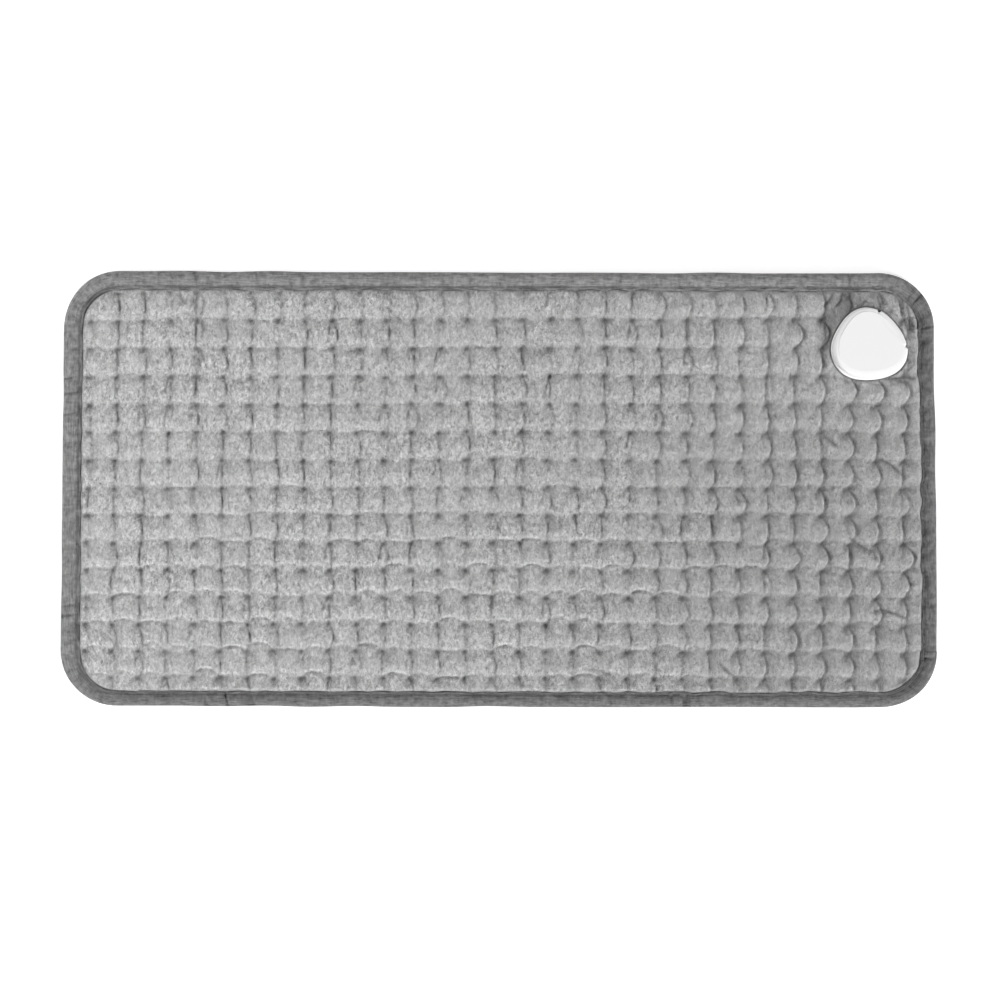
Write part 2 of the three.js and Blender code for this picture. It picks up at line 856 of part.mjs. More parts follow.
// A contact blade: a flat strip that stands in the socket, with its tail bent down to the board.
function contactBlade(side) {
  const low = bladeLevel - bladeHeight / 2;
  const high = bladeLevel + bladeHeight / 2;
  const chamfer = bladeHeight / 4;
  const outline = new THREE.Shape();
  outline.moveTo(bladeTailBack, boardTop + gap);
  outline.lineTo(bladeTailBack + bladeTailWidth, boardTop + gap);
  outline.lineTo(bladeTailBack + bladeTailWidth, low);
  outline.lineTo(bladeTip - chamfer, low);
  outline.lineTo(bladeTip, low + chamfer);
  outline.lineTo(bladeTip, high - chamfer);
  outline.lineTo(bladeTip - chamfer, high);
  outline.lineTo(bladeTailBack, high);
  outline.closePath();
  const options = { depth: bladeThickness, bevelEnabled: false };
  const strip = new THREE.ExtrudeGeometry(outline, options);
  return strip.rotateX(Math.PI / 2).translate(0, side + bladeThickness / 2, 0);
}

function terminalBoard() {
  return block(boardBack, boardFront, -boardHalfWidth, boardHalfWidth, boardLevel, boardTop);
}

// A round-headed screw along Z with its head at the bottom or the top.
function screw(x, y, headEnd, length, headHeight, headRadius, radius, up) {
  const profile = [
    [0, 0],
    [headRadius, 0],
    [headRadius, headHeight],
    [radius, headHeight],
    [radius, length - radius],
    [0, length],
  ].map(([r, z]) => new THREE.Vector2(r, z));
  const body = new THREE.LatheGeometry(profile, roundFacets).rotateX(Math.PI / 2);
  const half = headRadius * recessShare;
  const slots = [
    block(-half, half, -recessWidth / 2, recessWidth / 2, -overrun, recessDepth),
    block(-recessWidth / 2, recessWidth / 2, -half, half, -overrun, recessDepth),
  ];
  const made = cut(body, ...slots);
  if (!up) {
    made.rotateX(Math.PI);
  }
  return made.translate(x, y, headEnd);
}

// Finishes

const plush = { color: 0xa9a9a9, roughness: 1, metalness: 0 };
const tape = { color: 0x808080, roughness: 0.85, metalness: 0 };
const thread = { color: 0x6e6e6e, roughness: 0.8, metalness: 0 };
const felt = { color: 0xe6e4de, roughness: 1, metalness: 0 };
const wireCoat = { color: 0xd8d4c8, roughness: 0.6, metalness: 0 };
const leadCoat = { color: 0xf0f0ee, roughness: 0.5, metalness: 0 };
const shrinkTube = { color: 0x2a2a2c, roughness: 0.6, metalness: 0 };
const plastic = { color: 0xf1f1f0, roughness: 0.42, metalness: 0 };
const insulator = { color: 0x2d2d2f, roughness: 0.5, metalness: 0 };
const laminate = { color: 0x2f6b46, roughness: 0.5, metalness: 0 };
const brass = { color: 0xc9a85a, roughness: 0.3, metalness: 1 };
const steel = { color: 0xb9bcc0, roughness: 0.35, metalness: 1 };

function piece(group, name, finish, geometry) {
  const mesh = new THREE.Mesh(geometry, new THREE.MeshStandardMaterial(finish));
  mesh.name = name;
  group.add(mesh);
}

// Assembly

const pad = new THREE.Group();

piece(pad, "bottom_cover", plush, bottomCover());
piece(pad, "lower_heater_sheet", felt, heaterSheet(coverThickness));
piece(pad, "upper_heater_sheet", felt, heaterSheet(wireRoof));
piece(pad, "batting", felt, batting());
piece(pad, "top_cover", plush, topCover());
piece(pad, "edge_binding", tape, edgeBinding());
piece(pad, "binding_stitching", thread, bindingStitching());

heatingWires().forEach((geometry, i) => piece(pad, `heating_wire_${i + 1}`, wireCoat, geometry));
cutoutRows.forEach((row, i) => {
  piece(pad, `thermal_cutout_${i + 1}`, steel, thermalCutout(row));
  piece(pad, `cutout_sleeve_${i + 1}`, shrinkTube, cutoutSleeve(row));
});
splicePlaces().forEach((place, i) => piece(pad, `splice_${i + 1}`, shrinkTube, splice(...place)));
piece(pad, "supply_lead", leadCoat, supplyLead());
piece(pad, "return_lead", leadCoat, returnLead());

const housing = new THREE.Group();
housing.rotation.z = mouthAngle;
housing.position.set(housingX, housingY, 0);
pad.add(housing);

piece(housing, "back_shell", plastic, backShell());
piece(housing, "clamp_frame", plastic, clampFrame());
piece(housing, "socket_cap", plastic, cap());
piece(housing, "socket_block", insulator, socketBlock());
piece(housing, "terminal_board", laminate, terminalBoard());
piece(housing, "lead_clamp", insulator, leadClamp());
bladeSides().forEach((side, i) => piece(housing, `contact_blade_${i + 1}`, brass, contactBlade(side)));
bossPlaces().forEach(([x, y], i) => {
  const geometry = screw(
    x, y, screwSink, screwLength, screwHeadHeight, screwHeadRadius, screwRadius, true,
  );
  piece(housing, `housing_screw_${i + 1}`, steel, geometry);
});
[-1, 1].forEach((side, i) => {
  const headTop = clampBase + clampThickness + gap + clampScrewHeadHeight;
  const length = headTop - clampBase + clampScrewDepth;
  const geometry = screw(
    clampMiddle, side * clampScrewSide, headTop, length,
    clampScrewHeadHeight, clampScrewHeadRadius, clampScrewRadius, false,
  );
  piece(housing, `clamp_screw_${i + 1}`, steel, geometry);
});

export default pad;
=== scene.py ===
import math

import bmesh
import bpy
import numpy as np
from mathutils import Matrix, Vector


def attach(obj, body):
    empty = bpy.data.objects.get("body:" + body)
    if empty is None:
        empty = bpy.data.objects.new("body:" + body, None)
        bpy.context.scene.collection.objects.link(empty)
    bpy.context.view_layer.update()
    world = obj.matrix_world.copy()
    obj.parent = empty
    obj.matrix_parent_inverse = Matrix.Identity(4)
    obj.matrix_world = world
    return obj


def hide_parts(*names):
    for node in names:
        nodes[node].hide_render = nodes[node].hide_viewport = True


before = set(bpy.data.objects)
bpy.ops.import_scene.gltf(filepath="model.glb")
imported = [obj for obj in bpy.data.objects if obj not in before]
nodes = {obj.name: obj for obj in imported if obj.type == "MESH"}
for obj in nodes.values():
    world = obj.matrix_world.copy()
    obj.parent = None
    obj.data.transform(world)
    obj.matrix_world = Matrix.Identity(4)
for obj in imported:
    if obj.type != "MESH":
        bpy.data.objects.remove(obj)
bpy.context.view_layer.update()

# Lengths below are written in millimetres and changed to metres when a mesh is made

MM = 0.001

# Sizes of the pad

HALF_LENGTH = 305.0
HALF_WIDTH = 152.5
CORNER_RADIUS = 40.0
TACK_LEVEL = 8.0
PUFF = 5.4
PLUSH_BASE = 7.22
UNDERSIDE_TOP = 1.9
UNDERSIDE_PRESS = 1.25
COVER_INSET = 9.5
TOP_STEP = 0.95

# Tacks of the top cover

COLUMNS = 31
ROWS = 15
PITCH_X = 18.9
PITCH_Y = 19.2
FIRST_COLUMN = -2.4 - PITCH_X * (COLUMNS - 1) / 2
FIRST_ROW = 2.8 - PITCH_Y * (ROWS - 1) / 2

# Binding tape and its stitches

TAPE_REACH = 12.0
FOLD_LEVEL = 4.4
TAPE_STEP = 1.1
SEAM_INSET = 12.8
BAND_RIPPLE = 9.0
STITCH_INSET = 10.45
STITCH_PITCH = 3.3
STITCH_RINGS = 7
STITCH_SIDES = 6

# Inlet housing, whose own frame has its middle here and its mouth at this angle

HOUSING_X = 257.0
HOUSING_Y = 100.0
MOUTH_ANGLE = math.radians(40.5)
PICK_RADIUS = 25.1
PICK_LOBE = 1.55
BAND_REACH = 1.2
BAND_BASE = 8.3
BAND_TOP = 10.0
CAP_BASE = 10.3
CAP_TOP = 19.1
CAP_ROUND = 2.2
ROUND_SWING = 0.6
ROUND_TURN = math.radians(-45.0)
CAP_PLATEAU = 0.45
PLATEAU_LEDGE = 1.1
CAP_WALL = 1.6
CAP_CEILING = 17.5
MOUTH_START = 10.0
MOUTH_END = 40.0
MOUTH_HALF_WIDTH = 13.9
STEP_DEPTH = 0.16
STEP_MIDDLE = 48.5
STEP_RADIUS = 31.2
STEP_EASE = 1.7

# Outline of the cap and its band, seen from above: one to four swings round a circle

RIM_RADIUS = 24.4
RIM_LOBE = 1.7
RIM_TURN = math.radians(35.7)
RIM_STRETCH = 0.64
STRETCH_TURN = math.radians(-21.6)
RIM_MOVE = 0.36
MOVE_TURN = math.radians(-62.0)
RIM_SQUARE = 0.27
SQUARE_TURN = math.radians(-5.5)
LIP_START = math.radians(-3.0)
LIP_END = math.radians(74.5)
LIP_STEP = 0.5
LIP_EASE = 0.03
NOTCH_DEPTH = 1.2
NOTCH_WIDTH = 1.5

# Camera, in metres

CAMERA_AIM = (0.0007, -0.0081, 0.004)
CAMERA_DISTANCE = 1.4
CAMERA_TILT = math.radians(2.12)
CAMERA_ROLL = math.radians(0.13)
FOCAL_LENGTH = 72.2

SEED = 41
LATTICE = 512
SHARP_ANGLE = math.radians(35.0)


# Small tools for numbers


def smoothstep(low, high, value):
    """0 below low, 1 above high, and an S-shaped rise between them."""
    t = np.clip((value - low) / (high - low), 0.0, 1.0)
    return t * t * (3.0 - 2.0 * t)


def rolling_noise(x, y, size, seed):
    """Noise from -1 to 1: random values on a lattice of that size, blended by S-curves."""
    values = np.random.default_rng(seed).uniform(-1.0, 1.0, (LATTICE, LATTICE))
    column = np.floor(x / size).astype(int)
    row = np.floor(y / size).astype(int)
    u = smoothstep(0.0, 1.0, x / size - column)
    v = smoothstep(0.0, 1.0, y / size - row)

    def blended(line):
        return values[line, column % LATTICE] * (1 - u) + values[line, (column + 1) % LATTICE] * u

    return blended(row % LATTICE) * (1 - v) + blended((row + 1) % LATTICE) * v


def line_noise(along, size, seed):
    """Rolling noise that changes in one direction only."""
    return rolling_noise(along, np.zeros_like(along), size, seed)


def past_corner(x, y):
    """How far a place lies past the middles of the round corners, along x and along y."""
    return np.abs(x) - (HALF_LENGTH - CORNER_RADIUS), np.abs(y) - (HALF_WIDTH - CORNER_RADIUS)


def edge_inset(x, y):
    """Distance in from the pad's edge, which is a rectangle with round corners."""
    qx, qy = past_corner(x, y)
    outside = np.hypot(np.maximum(qx, 0.0), np.maximum(qy, 0.0))
    return CORNER_RADIUS - outside - np.minimum(np.maximum(qx, qy), 0.0)


def housing_radius(angle):
    """The housing's outline: a circle whose radius swings three times round."""
    return PICK_RADIUS - PICK_LOBE * np.cos(3.0 * (angle - MOUTH_ANGLE))


def half_turn(angle):
    """The same direction as an angle from minus to plus half a turn."""
    return np.mod(angle + math.pi, 2 * math.pi) - math.pi


def rim_radius(angle):
    """The outline of the cap and its band: four swings round a circle, and a lip."""
    swings = RIM_RADIUS - RIM_LOBE * np.cos(3.0 * (angle - RIM_TURN))
    swings = swings + RIM_STRETCH * np.cos(2.0 * (angle - STRETCH_TURN))
    swings = swings + RIM_MOVE * np.cos(angle - MOVE_TURN)
    swings = swings + RIM_SQUARE * np.cos(4.0 * (angle - SQUARE_TURN))
    turn = half_turn(angle)
    begun = smoothstep(LIP_START, LIP_START + LIP_EASE, turn)
    lip = begun * (1 - smoothstep(LIP_END - LIP_EASE, LIP_END, turn))
    return swings * (1 - lip) + (housing_radius(angle) - LIP_STEP) * lip


def notch_depth(angle):
    """How far the outline is notched, at both ends of the lip."""
    depth = 0.0
    for end in (LIP_START, LIP_END):
        off = np.abs(half_turn(angle) - end) * RIM_RADIUS
        depth = np.maximum(depth, NOTCH_DEPTH * (1 - smoothstep(0.4 * NOTCH_WIDTH, NOTCH_WIDTH, off)))
    return depth


def around_housing(x, y):
    """Distance and direction of a place from the middle of the housing."""
    dx = x - HOUSING_X
    dy = y - HOUSING_Y
    return np.hypot(dx, dy), np.arctan2(dy, dx)


def housing_distance(x, y):
    """Distance out from the lower band of the housing, along the line from its middle."""
    away, angle = around_housing(x, y)
    return away - rim_radius(angle) + notch_depth(angle) - BAND_REACH


def plate_distance(x, y):
    """Distance out from the plate of the housing that lies in the underside."""
    away, angle = around_housing(x, y)
    return away - housing_radius(angle) - BAND_REACH


# Meshes from arrays


def put_in_scene(name, data):
    """A new object of a mesh, lamp or camera."""
    made = bpy.data.objects.new(name, data)
    bpy.context.scene.collection.objects.link(made)
    return made


def make_piece(name, points, faces, material):
    """A named mesh object from points in millimetres, riding on the root body."""
    mesh = bpy.data.meshes.new(name)
    mesh.from_pydata((np.asarray(points, float) * MM).tolist(), [], np.asarray(faces).tolist())
    mesh.polygons.foreach_set("use_smooth", np.full(len(mesh.polygons), True))
    mesh.materials.append(material)
    mesh.update()
    piece = put_in_scene(name, mesh)
    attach(piece, "root")
    return piece


def grid_faces(rows, columns, close_rows=False, close_columns=False):
    """Quads of a grid of points, optionally joined round in either direction."""
    index = np.arange(rows * columns).reshape(rows, columns)
    if close_rows:
        index = np.vstack([index, index[:1]])
    if close_columns:
        index = np.hstack([index, index[:, :1]])
    quads = [index[:-1, :-1], index[:-1, 1:], index[1:, 1:], index[1:, :-1]]
    return np.stack(quads, -1).reshape(-1, 4)


def turn_outwards(piece, fill_sides=None):
    """Turns every face outwards, after filling open ends of up to so many sides, or 0 for any."""
    mesh = bmesh.new()
    mesh.from_mesh(piece.data)
    if fill_sides is not None:
        rims = [edge for edge in mesh.edges if edge.is_boundary]
        bmesh.ops.holes_fill(mesh, edges=rims, sides=fill_sides)
    bmesh.ops.recalc_face_normals(mesh, faces=mesh.faces)
    mesh.to_mesh(piece.data)
    mesh.free()


def store_masks(piece, **masks):
    """Keeps one number of each name for each point of the piece, for its material to read."""
    for name, values in masks.items():
        attribute = piece.data.attributes.new(name, "FLOAT", "POINT")
        attribute.data.foreach_set("value", np.asarray(values, np.float32).ravel())


def store_uv(piece, u, v):
    """Gives each corner the u and v of its point, in metres along the surface."""
    layer = piece.data.uv_layers.new(name="weave")
    corners = np.empty(len(piece.data.loops), np.int32)
    piece.data.loops.foreach_get("vertex_index", corners)
    pairs = np.stack([np.ravel(u), np.ravel(v)], -1)[corners] * MM
    layer.data.foreach_set("uv", pairs.astype(np.float32).ravel())


# Relief of the tufted plush

# Columns of tacks along which the cloth folds deeply, or hardly at all, counted from the left

DEEP_ABOVE = [1, 4, 5, 8, 9, 12, 19, 21, 22, 26, 27, 28, 29, 30]
DEEP_BELOW = [1, 2, 5, 6, 9, 12, 15, 21, 22, 23, 26, 27, 28, 29, 30]
FAINT_ABOVE = [0, 3, 7, 10, 11, 13, 14, 17, 18]
FAINT_BELOW = [0, 4, 8, 13, 14, 18]
MIDDLE_CELL = 8


def cell_tables(seed):
    """Random tables, one number for each cell or line of the tack grid."""
    rng = np.random.default_rng(seed)
    shape = (ROWS + 2, COLUMNS + 2)
    draws = [
        ("bend", rng.normal), ("tilt", rng.normal), ("second_tilt", rng.normal),
        ("strength", rng.uniform), ("second_strength", rng.uniform),
        ("scallop", rng.normal), ("row_strength", rng.uniform),
    ]
    tables = {name: draw(0.0, 1.0, shape) for name, draw in draws}
    strength = tables["strength"]
    halves = [
        (slice(0, MIDDLE_CELL), DEEP_BELOW, FAINT_BELOW),
        (slice(MIDDLE_CELL, None), DEEP_ABOVE, FAINT_ABOVE),
    ]
    for half, deep, faint in halves:
        strength[half, deep] = 0.45 + 0.65 * strength[half, deep]
        strength[half, faint] *= 0.4
    # The pillows just below the housing bow the most
    for name, value in (("bend", 2.3), ("tilt", 0.0), ("strength", 1.0), ("second_strength", 0.0)):
        tables[name][11:12, 28:30] = value
    return tables


# Long creases that run across the tack grid: start, end, bow and depth

CREASES = [
    (-214.0, 138.0, -211.0, 119.0, -1.0, 1.6),
    (-206.0, 134.0, -210.0, 119.0, 1.0, 1.3),
    (-227.0, 137.0, -218.0, 128.0, 1.0, 1.2),
    (-211.0, 119.0, -206.0, 108.0, 1.5, 1.5),
    (-212.0, 100.0, -206.0, 88.0, 1.2, 1.5),
    (-211.0, 96.0, -210.0, 62.0, -0.8, 1.2),
    (224.0, 126.0, 234.0, 140.0, -1.0, 1.5),
    (232.0, 127.0, 241.0, 140.0, -1.0, 1.4),
    (240.0, 131.0, 247.0, 141.0, -0.8, 1.2),
    (262.0, 141.0, 268.0, 128.0, 1.0, 2.0),
    (276.0, 137.0, 280.0, 120.0, 1.4, 1.6),
    (283.0, 131.0, 286.0, 108.0, 1.0, 1.5),
    (284.0, 116.0, 292.0, 112.0, 0.5, 1.6),
    (264.0, 76.1, 291.8, 77.7, 0.6, 1.6),
    (282.5, 86.0, 283.0, 70.1, -0.5, 1.5),
    (222.0, 46.0, 236.0, 30.0, -2.5, 1.4),
    (262.0, 22.0, 281.0, 8.0, 2.0, 1.5),
    (240.0, -30.0, 262.0, -44.0, -2.0, 1.4),
    (255.0, -84.0, 286.0, -92.0, 3.0, 1.5),
    (60.0, -124.0, 84.0, -133.0, 2.0, 1.3),
    (150.0, -118.0, 171.0, -134.0, -2.0, 1.4),
    (-282.0, -96.0, -262.0, -112.0, 2.0, 1.1),
    (-80.0, 131.0, -66.0, 116.0, -2.0, 1.1),
]


def crease_depth(x, y):
    """Depth of the long creases: each is a bowed line with a V-shaped section."""
    depth = np.zeros_like(x)
    for x0, y0, x1, y1, bow, deep in CREASES:
        length = math.hypot(x1 - x0, y1 - y0)
        along = ((x - x0) * (x1 - x0) + (y - y0) * (y1 - y0)) / length**2
        across = ((y - y0) * (x1 - x0) - (x - x0) * (y1 - y0)) / length
        t = np.clip(along, 0.0, 1.0)
        beyond = np.abs(along - t) * length
        off = np.hypot(across - bow * 4.0 * t * (1.0 - t), beyond)
        fade = smoothstep(0.0, 0.2, t) * smoothstep(0.0, 0.2, 1.0 - t) + 0.15
        depth = np.maximum(depth, deep * fade * np.exp(-off / 1.3))
    return depth


def band_extra(x, y):
    """How much wider the band is than planned: more at the left and the far side, else less."""
    qx, qy = past_corner(x, y)
    corner = (qx > 0) & (qy > 0)
    length = np.maximum(np.hypot(qx, qy), 1e-6)
    share_x = np.where(corner, (qx / length) ** 2, np.where(qx > qy, 1.0, 0.0))
    ripple_x = line_noise(x, BAND_RIPPLE, SEED + 30)
    ripple_y = line_noise(y, BAND_RIPPLE, SEED + 31)
    right_side = 1.4 * smoothstep(10.0, 110.0, y) - 0.8 + 0.8 * ripple_y
    at_side = np.where(x < 0, 1.5 + 0.15 * ripple_y, right_side)
    near_end = -1.2 + (0.3 + 0.6 * smoothstep(60.0, 120.0, x)) * ripple_x
    at_end = np.where(y > 0, 1.4 + 0.4 * ripple_x, near_end)
    return share_x * at_side + (1 - share_x) * at_end


def seam_distance(x, y):
    """Distance in from where the plush starts to rise, a little under the tape's inner edge."""
    qx, qy = past_corner(x, y)
    overhang = np.where(qx > qy, np.where(x > 0, 0.6, 0.3), np.where(y < 0, 0.4, 0.2))
    overhang = overhang * np.where((qx > 0) & (qy > 0), 0.0, 1.0)
    return edge_inset(x, y) - SEAM_INSET - band_extra(x, y) + overhang


def grid_drift(a, b):
    """How far the tack grid has drifted as the pad lies, from shares of half its length and width."""
    drift_x = 2.5 - 0.7 * a - 0.5 * b - 2.1 * a**2 + 0.7 * a * b - 0.4 * b**2
    drift_y = 1.0 - 0.4 * a - 0.4 * b + 1.0 * a**2 - 0.7 * a * b - 1.8 * b**2
    return drift_x, drift_y


def tufted_relief(x, y, near_housing, long_crease):
    """Rise over the tack level, a 0 to 1 mask of flattened pile and painted shade in the creases, and a
    scale of painted highlight and shade.

    Each place is measured from the nearest row line and column line of the tack grid. The
    lines bow by random amounts, the cover swells away from them, and V-shaped grooves and
    round dimples are pushed in along the lines and at the tacks. The cover falls to the
    tack level at the seam and at the housing.
    """
    table = cell_tables(SEED)
    wander_x = 0.5 * rolling_noise(x, y, 47.0, SEED + 1) + 0.4 * rolling_noise(x, y, 17.0, SEED + 2)
    wander_y = 0.5 * rolling_noise(x, y, 53.0, SEED + 3) + 0.35 * rolling_noise(x, y, 19.0, SEED + 4)
    drift_x, drift_y = grid_drift(x / HALF_LENGTH, y / HALF_WIDTH)
    slip = 1.6 * (y / 100.0) * np.exp(-(((x - 110.0) / 120.0) ** 2))
    sag = 1.5 * np.cos(math.pi * np.clip(y / (2 * HALF_WIDTH), -0.5, 0.5))
    px = x + wander_x + drift_x - slip
    py = y + wander_y + drift_y + sag
    col = (px - FIRST_COLUMN) / PITCH_X
    row = (py - FIRST_ROW) / PITCH_Y
    near_col = np.clip(np.rint(col), 0, COLUMNS - 1).astype(int)
    near_row = np.clip(np.rint(row), 0, ROWS - 1).astype(int)
    cell_col = np.clip(np.floor(col), -1, COLUMNS - 1).astype(int) + 1
    cell_row = np.clip(np.floor(row), -1, ROWS - 1).astype(int) + 1
    u = col - np.floor(col)
    v = row - np.floor(row)
    right = smoothstep(60.0, 240.0, x)
    lower = smoothstep(20.0, -70.0, y)
    column_x = px - FIRST_COLUMN - near_col * PITCH_X
    row_y = py - FIRST_ROW - near_row * PITCH_Y

    # Column lines run down from each tack and bow to the right, most in the right-hand part.
    here = (cell_row, near_col)
    bend = table["bend"][here]
    bow = (1.8 + 1.2 * bend) * (1 - right) + (1.9 + 1.6 * bend) * right
    lean = table["tilt"][here] * (2.0 + 0.8 * right)
    off_column = column_x - (bow * 4 * v * (1 - v) + lean * v * (1 - v))
    side = table["second_tilt"][here]
    off_second = column_x - (2.6 * np.sign(side) + 0.9 * side) * np.sqrt(1.02 - v)
    below_tack = smoothstep(0.15, 0.7, v)
    strength = table["strength"][here]
    seen = smoothstep(0.0, 0.3, strength + 0.15 * right)
    column_groove = seen * (0.40 + 0.38 * strength + 0.16 * right) * (0.6 + 0.4 * below_tack)
    second_groove = np.maximum(table["second_strength"][here] - 0.4, 0.0) * 1.1 * below_tack

    # Row lines bulge up between two tacks, most in the lower half.
    uneven = (0.6 + 0.7 * lower) * table["scallop"][near_row, cell_col]
    rise = 1.1 + uneven + 0.9 * right + (2.9 - 2.0 * right) * lower
    off_row = row_y - rise * (4 * u * (1 - u)) ** 0.8
    row_strength = table["row_strength"][near_row, cell_col]
    row_groove = 0.55 * np.maximum(row_strength - 0.4, 0.0) + 0.05
    row_groove = row_groove + (0.08 + 0.18 * row_strength) * lower * (1 - 0.5 * right)

    # Each tack is a round dimple, with a wider pull round it.
    slant = 0.45 * right
    tack_size = 1 + 0.16 * table["scallop"][near_row, near_col]
    tack_x = (column_x - 0.4 - slant * row_y) / ((2.9 + 1.0 * right) * tack_size)
    tack_y = (row_y + 0.2 - 0.16 * column_x * right) / (2.3 + 0.4 * right)
    away = np.sqrt(tack_x**2 + tack_y**2)
    held = smoothstep(0.5, 2.5, near_housing)
    dimple = np.exp(-(away**1.6)) * held
    pull = np.exp(-((away / 3.2) ** 1.3)) * held

    # The cover swells to a crown that falls towards each line.
    near_rows = np.clip(1 - np.abs(off_row) / (PITCH_Y / 2), 0, 1)
    near_columns = np.clip(1 - np.abs(off_column) / (PITCH_X / 2), 0, 1)
    past_line = np.where(off_column > 0, off_column, off_column + PITCH_X) / PITCH_X
    shingle = 1 - 0.5 * np.clip(1 - past_line, 0.0, 1.0) ** 1.5
    crown = PUFF * (0.93 + 0.24 * rolling_noise(x, y, 15.0, SEED + 5))
    crown = crown + 0.4 * rolling_noise(x, y, 8.0, SEED + 13)
    patch = 0.5 + 0.5 * rolling_noise(x, y, 33.0, SEED + 11)
    height = crown * (1 - (0.18 + 0.18 * patch + 0.1 * right + 0.06 * lower) * near_rows**2.0)
    height = height * (1 - (0.25 - 0.06 * right) * near_columns**2.4) * (1 - 0.5 * pull)
    height = height * (1 - (0.25 + 0.6 * right) * (1 - shingle))
    row_line = row_groove * np.exp(-np.abs(off_row) / 0.8)
    column_line = column_groove * np.exp(-np.abs(off_column) / (1.0 + 0.4 * strength + 0.1 * right))
    second_line = second_groove * np.exp(-np.abs(off_second) / 0.8)
    free = smoothstep(0.0, 2.5, near_housing)
    lines = (1 - row_line * free) * (1 - column_line * free) * (1 - second_line * free)
    height = height * lines * (1 - 0.9 * dimple)
    woolly = 0.52 * rolling_noise(x, y, 5.3, SEED + 6) + 0.55 * rolling_noise(x, y, 2.3, SEED + 7)
    ribs = 0.5 * rolling_noise(x, y * 0.2, 2.3, SEED + 8)
    height = height + woolly * (1 - 0.2 * right) + ribs * (0.3 + 0.7 * right)
    height = height - long_crease
    from_seam = seam_distance(x, y)
    at_seam = 1 - np.exp(-np.maximum(from_seam, 0.0) / 1.1)
    at_rim = 1 - np.exp(-np.maximum(near_housing + 0.2, 0.0) / 1.4)
    height = np.maximum(height, 0.1) * at_seam * at_rim
    # Darkening mask: pile flattened at the tacks and along the grooves, with painted shade in those creases
    # and the long creases, in the tuck under the tape, and a painted contact shadow round the housing.
    pressed = np.maximum.reduce([row_line, column_line, second_line, long_crease / 2.0])
    pressed = np.maximum((0.75 + 0.35 * right) * pressed, dimple)
    pressed = np.maximum(pressed * at_seam, 0.35 * (1 - at_seam))
    pressed = np.maximum(pressed, 1.2 * np.exp(-((np.maximum(near_housing, 0.0) / 1.1) ** 2)))

    # Painted highlight along both lips of a groove, most on the lip that the cover leans to,
    # and along the seam at the right end, and painted shade just right of each groove in the
    # right-hand part.
    left_lip = np.exp(-((off_column + 2.0) ** 2)) * column_groove * (0.25 + 0.5 * right)
    right_lip = np.exp(-((off_column - 2.4) ** 2)) * column_groove * 0.15
    row_lips = np.exp(-(((np.abs(off_row) - 1.9) / 0.9) ** 2)) * row_groove * 0.35
    row_lips = row_lips + (0.17 - 0.07 * right) * lower * np.exp(-((off_row - 1.9) ** 2))
    painted_hollow_shade = np.exp(-np.maximum(off_column, 0.0) / 4.0) * (off_column > 0) * column_groove * 0.2 * right
    painted_lip_light = 1 + (left_lip + right_lip + row_lips) * free * (1 - pull) - painted_hollow_shade * free
    painted_lip_light = painted_lip_light + 0.16 * smoothstep(HALF_LENGTH - 20.0, HALF_LENGTH - 17.0, x) * np.exp(-from_seam / 3.0)
    return height, np.clip(pressed, 0.0, 1.0), painted_lip_light


def trimmed_grid(step, keep_inset, hole_grow, outline=housing_radius):
    """A grid over the pad, cut to an inset of its outline and round the housing.

    Points just outside either outline slide onto it. The quads that lie wholly outside
    are left out.
    """
    reach_x = HALF_LENGTH - keep_inset
    reach_y = HALF_WIDTH - keep_inset
    xs = np.linspace(-reach_x, reach_x, int(2 * reach_x / step) + 1)
    ys = np.linspace(-reach_y, reach_y, int(2 * reach_y / step) + 1)
    x, y = np.meshgrid(xs, ys)
    beyond = keep_inset - edge_inset(x, y)
    middle_x = np.sign(x) * (HALF_LENGTH - CORNER_RADIUS)
    middle_y = np.sign(y) * (HALF_WIDTH - CORNER_RADIUS)
    radius = CORNER_RADIUS - keep_inset
    away = np.maximum(np.hypot(x - middle_x, y - middle_y), 1e-6)
    outside = beyond > 1e-6
    x = np.where(outside, middle_x + (x - middle_x) * radius / away, x)
    y = np.where(outside, middle_y + (y - middle_y) * radius / away, y)
    from_middle, angle = around_housing(x, y)
    rim = outline(angle) + hole_grow
    inside = from_middle < rim
    x = np.where(inside, HOUSING_X + rim * np.cos(angle), x)
    y = np.where(inside, HOUSING_Y + rim * np.sin(angle), y)
    faces = grid_faces(*x.shape)
    return x, y, faces[~np.all((outside | inside).ravel()[faces], axis=1)]


def close_below(piece, level):
    """Walls down from every open edge to a level, and a flat floor between them."""
    mesh = bmesh.new()
    mesh.from_mesh(piece.data)
    bmesh.ops.delete(mesh, geom=[v for v in mesh.verts if not v.link_faces], context="VERTS")
    rim = [edge for edge in mesh.edges if edge.is_boundary]
    made = bmesh.ops.extrude_edge_only(mesh, edges=rim)["geom"]
    for vertex in (item for item in made if isinstance(item, bmesh.types.BMVert)):
        vertex.co.z = level * MM
    floor_edges = [item for item in made if isinstance(item, bmesh.types.BMEdge) and item.is_boundary]
    bmesh.ops.triangle_fill(mesh, edges=floor_edges, use_beauty=True)
    bmesh.ops.recalc_face_normals(mesh, faces=mesh.faces)
    for face in mesh.faces:
        face.smooth = True
    mesh.to_mesh(piece.data)
    mesh.free()


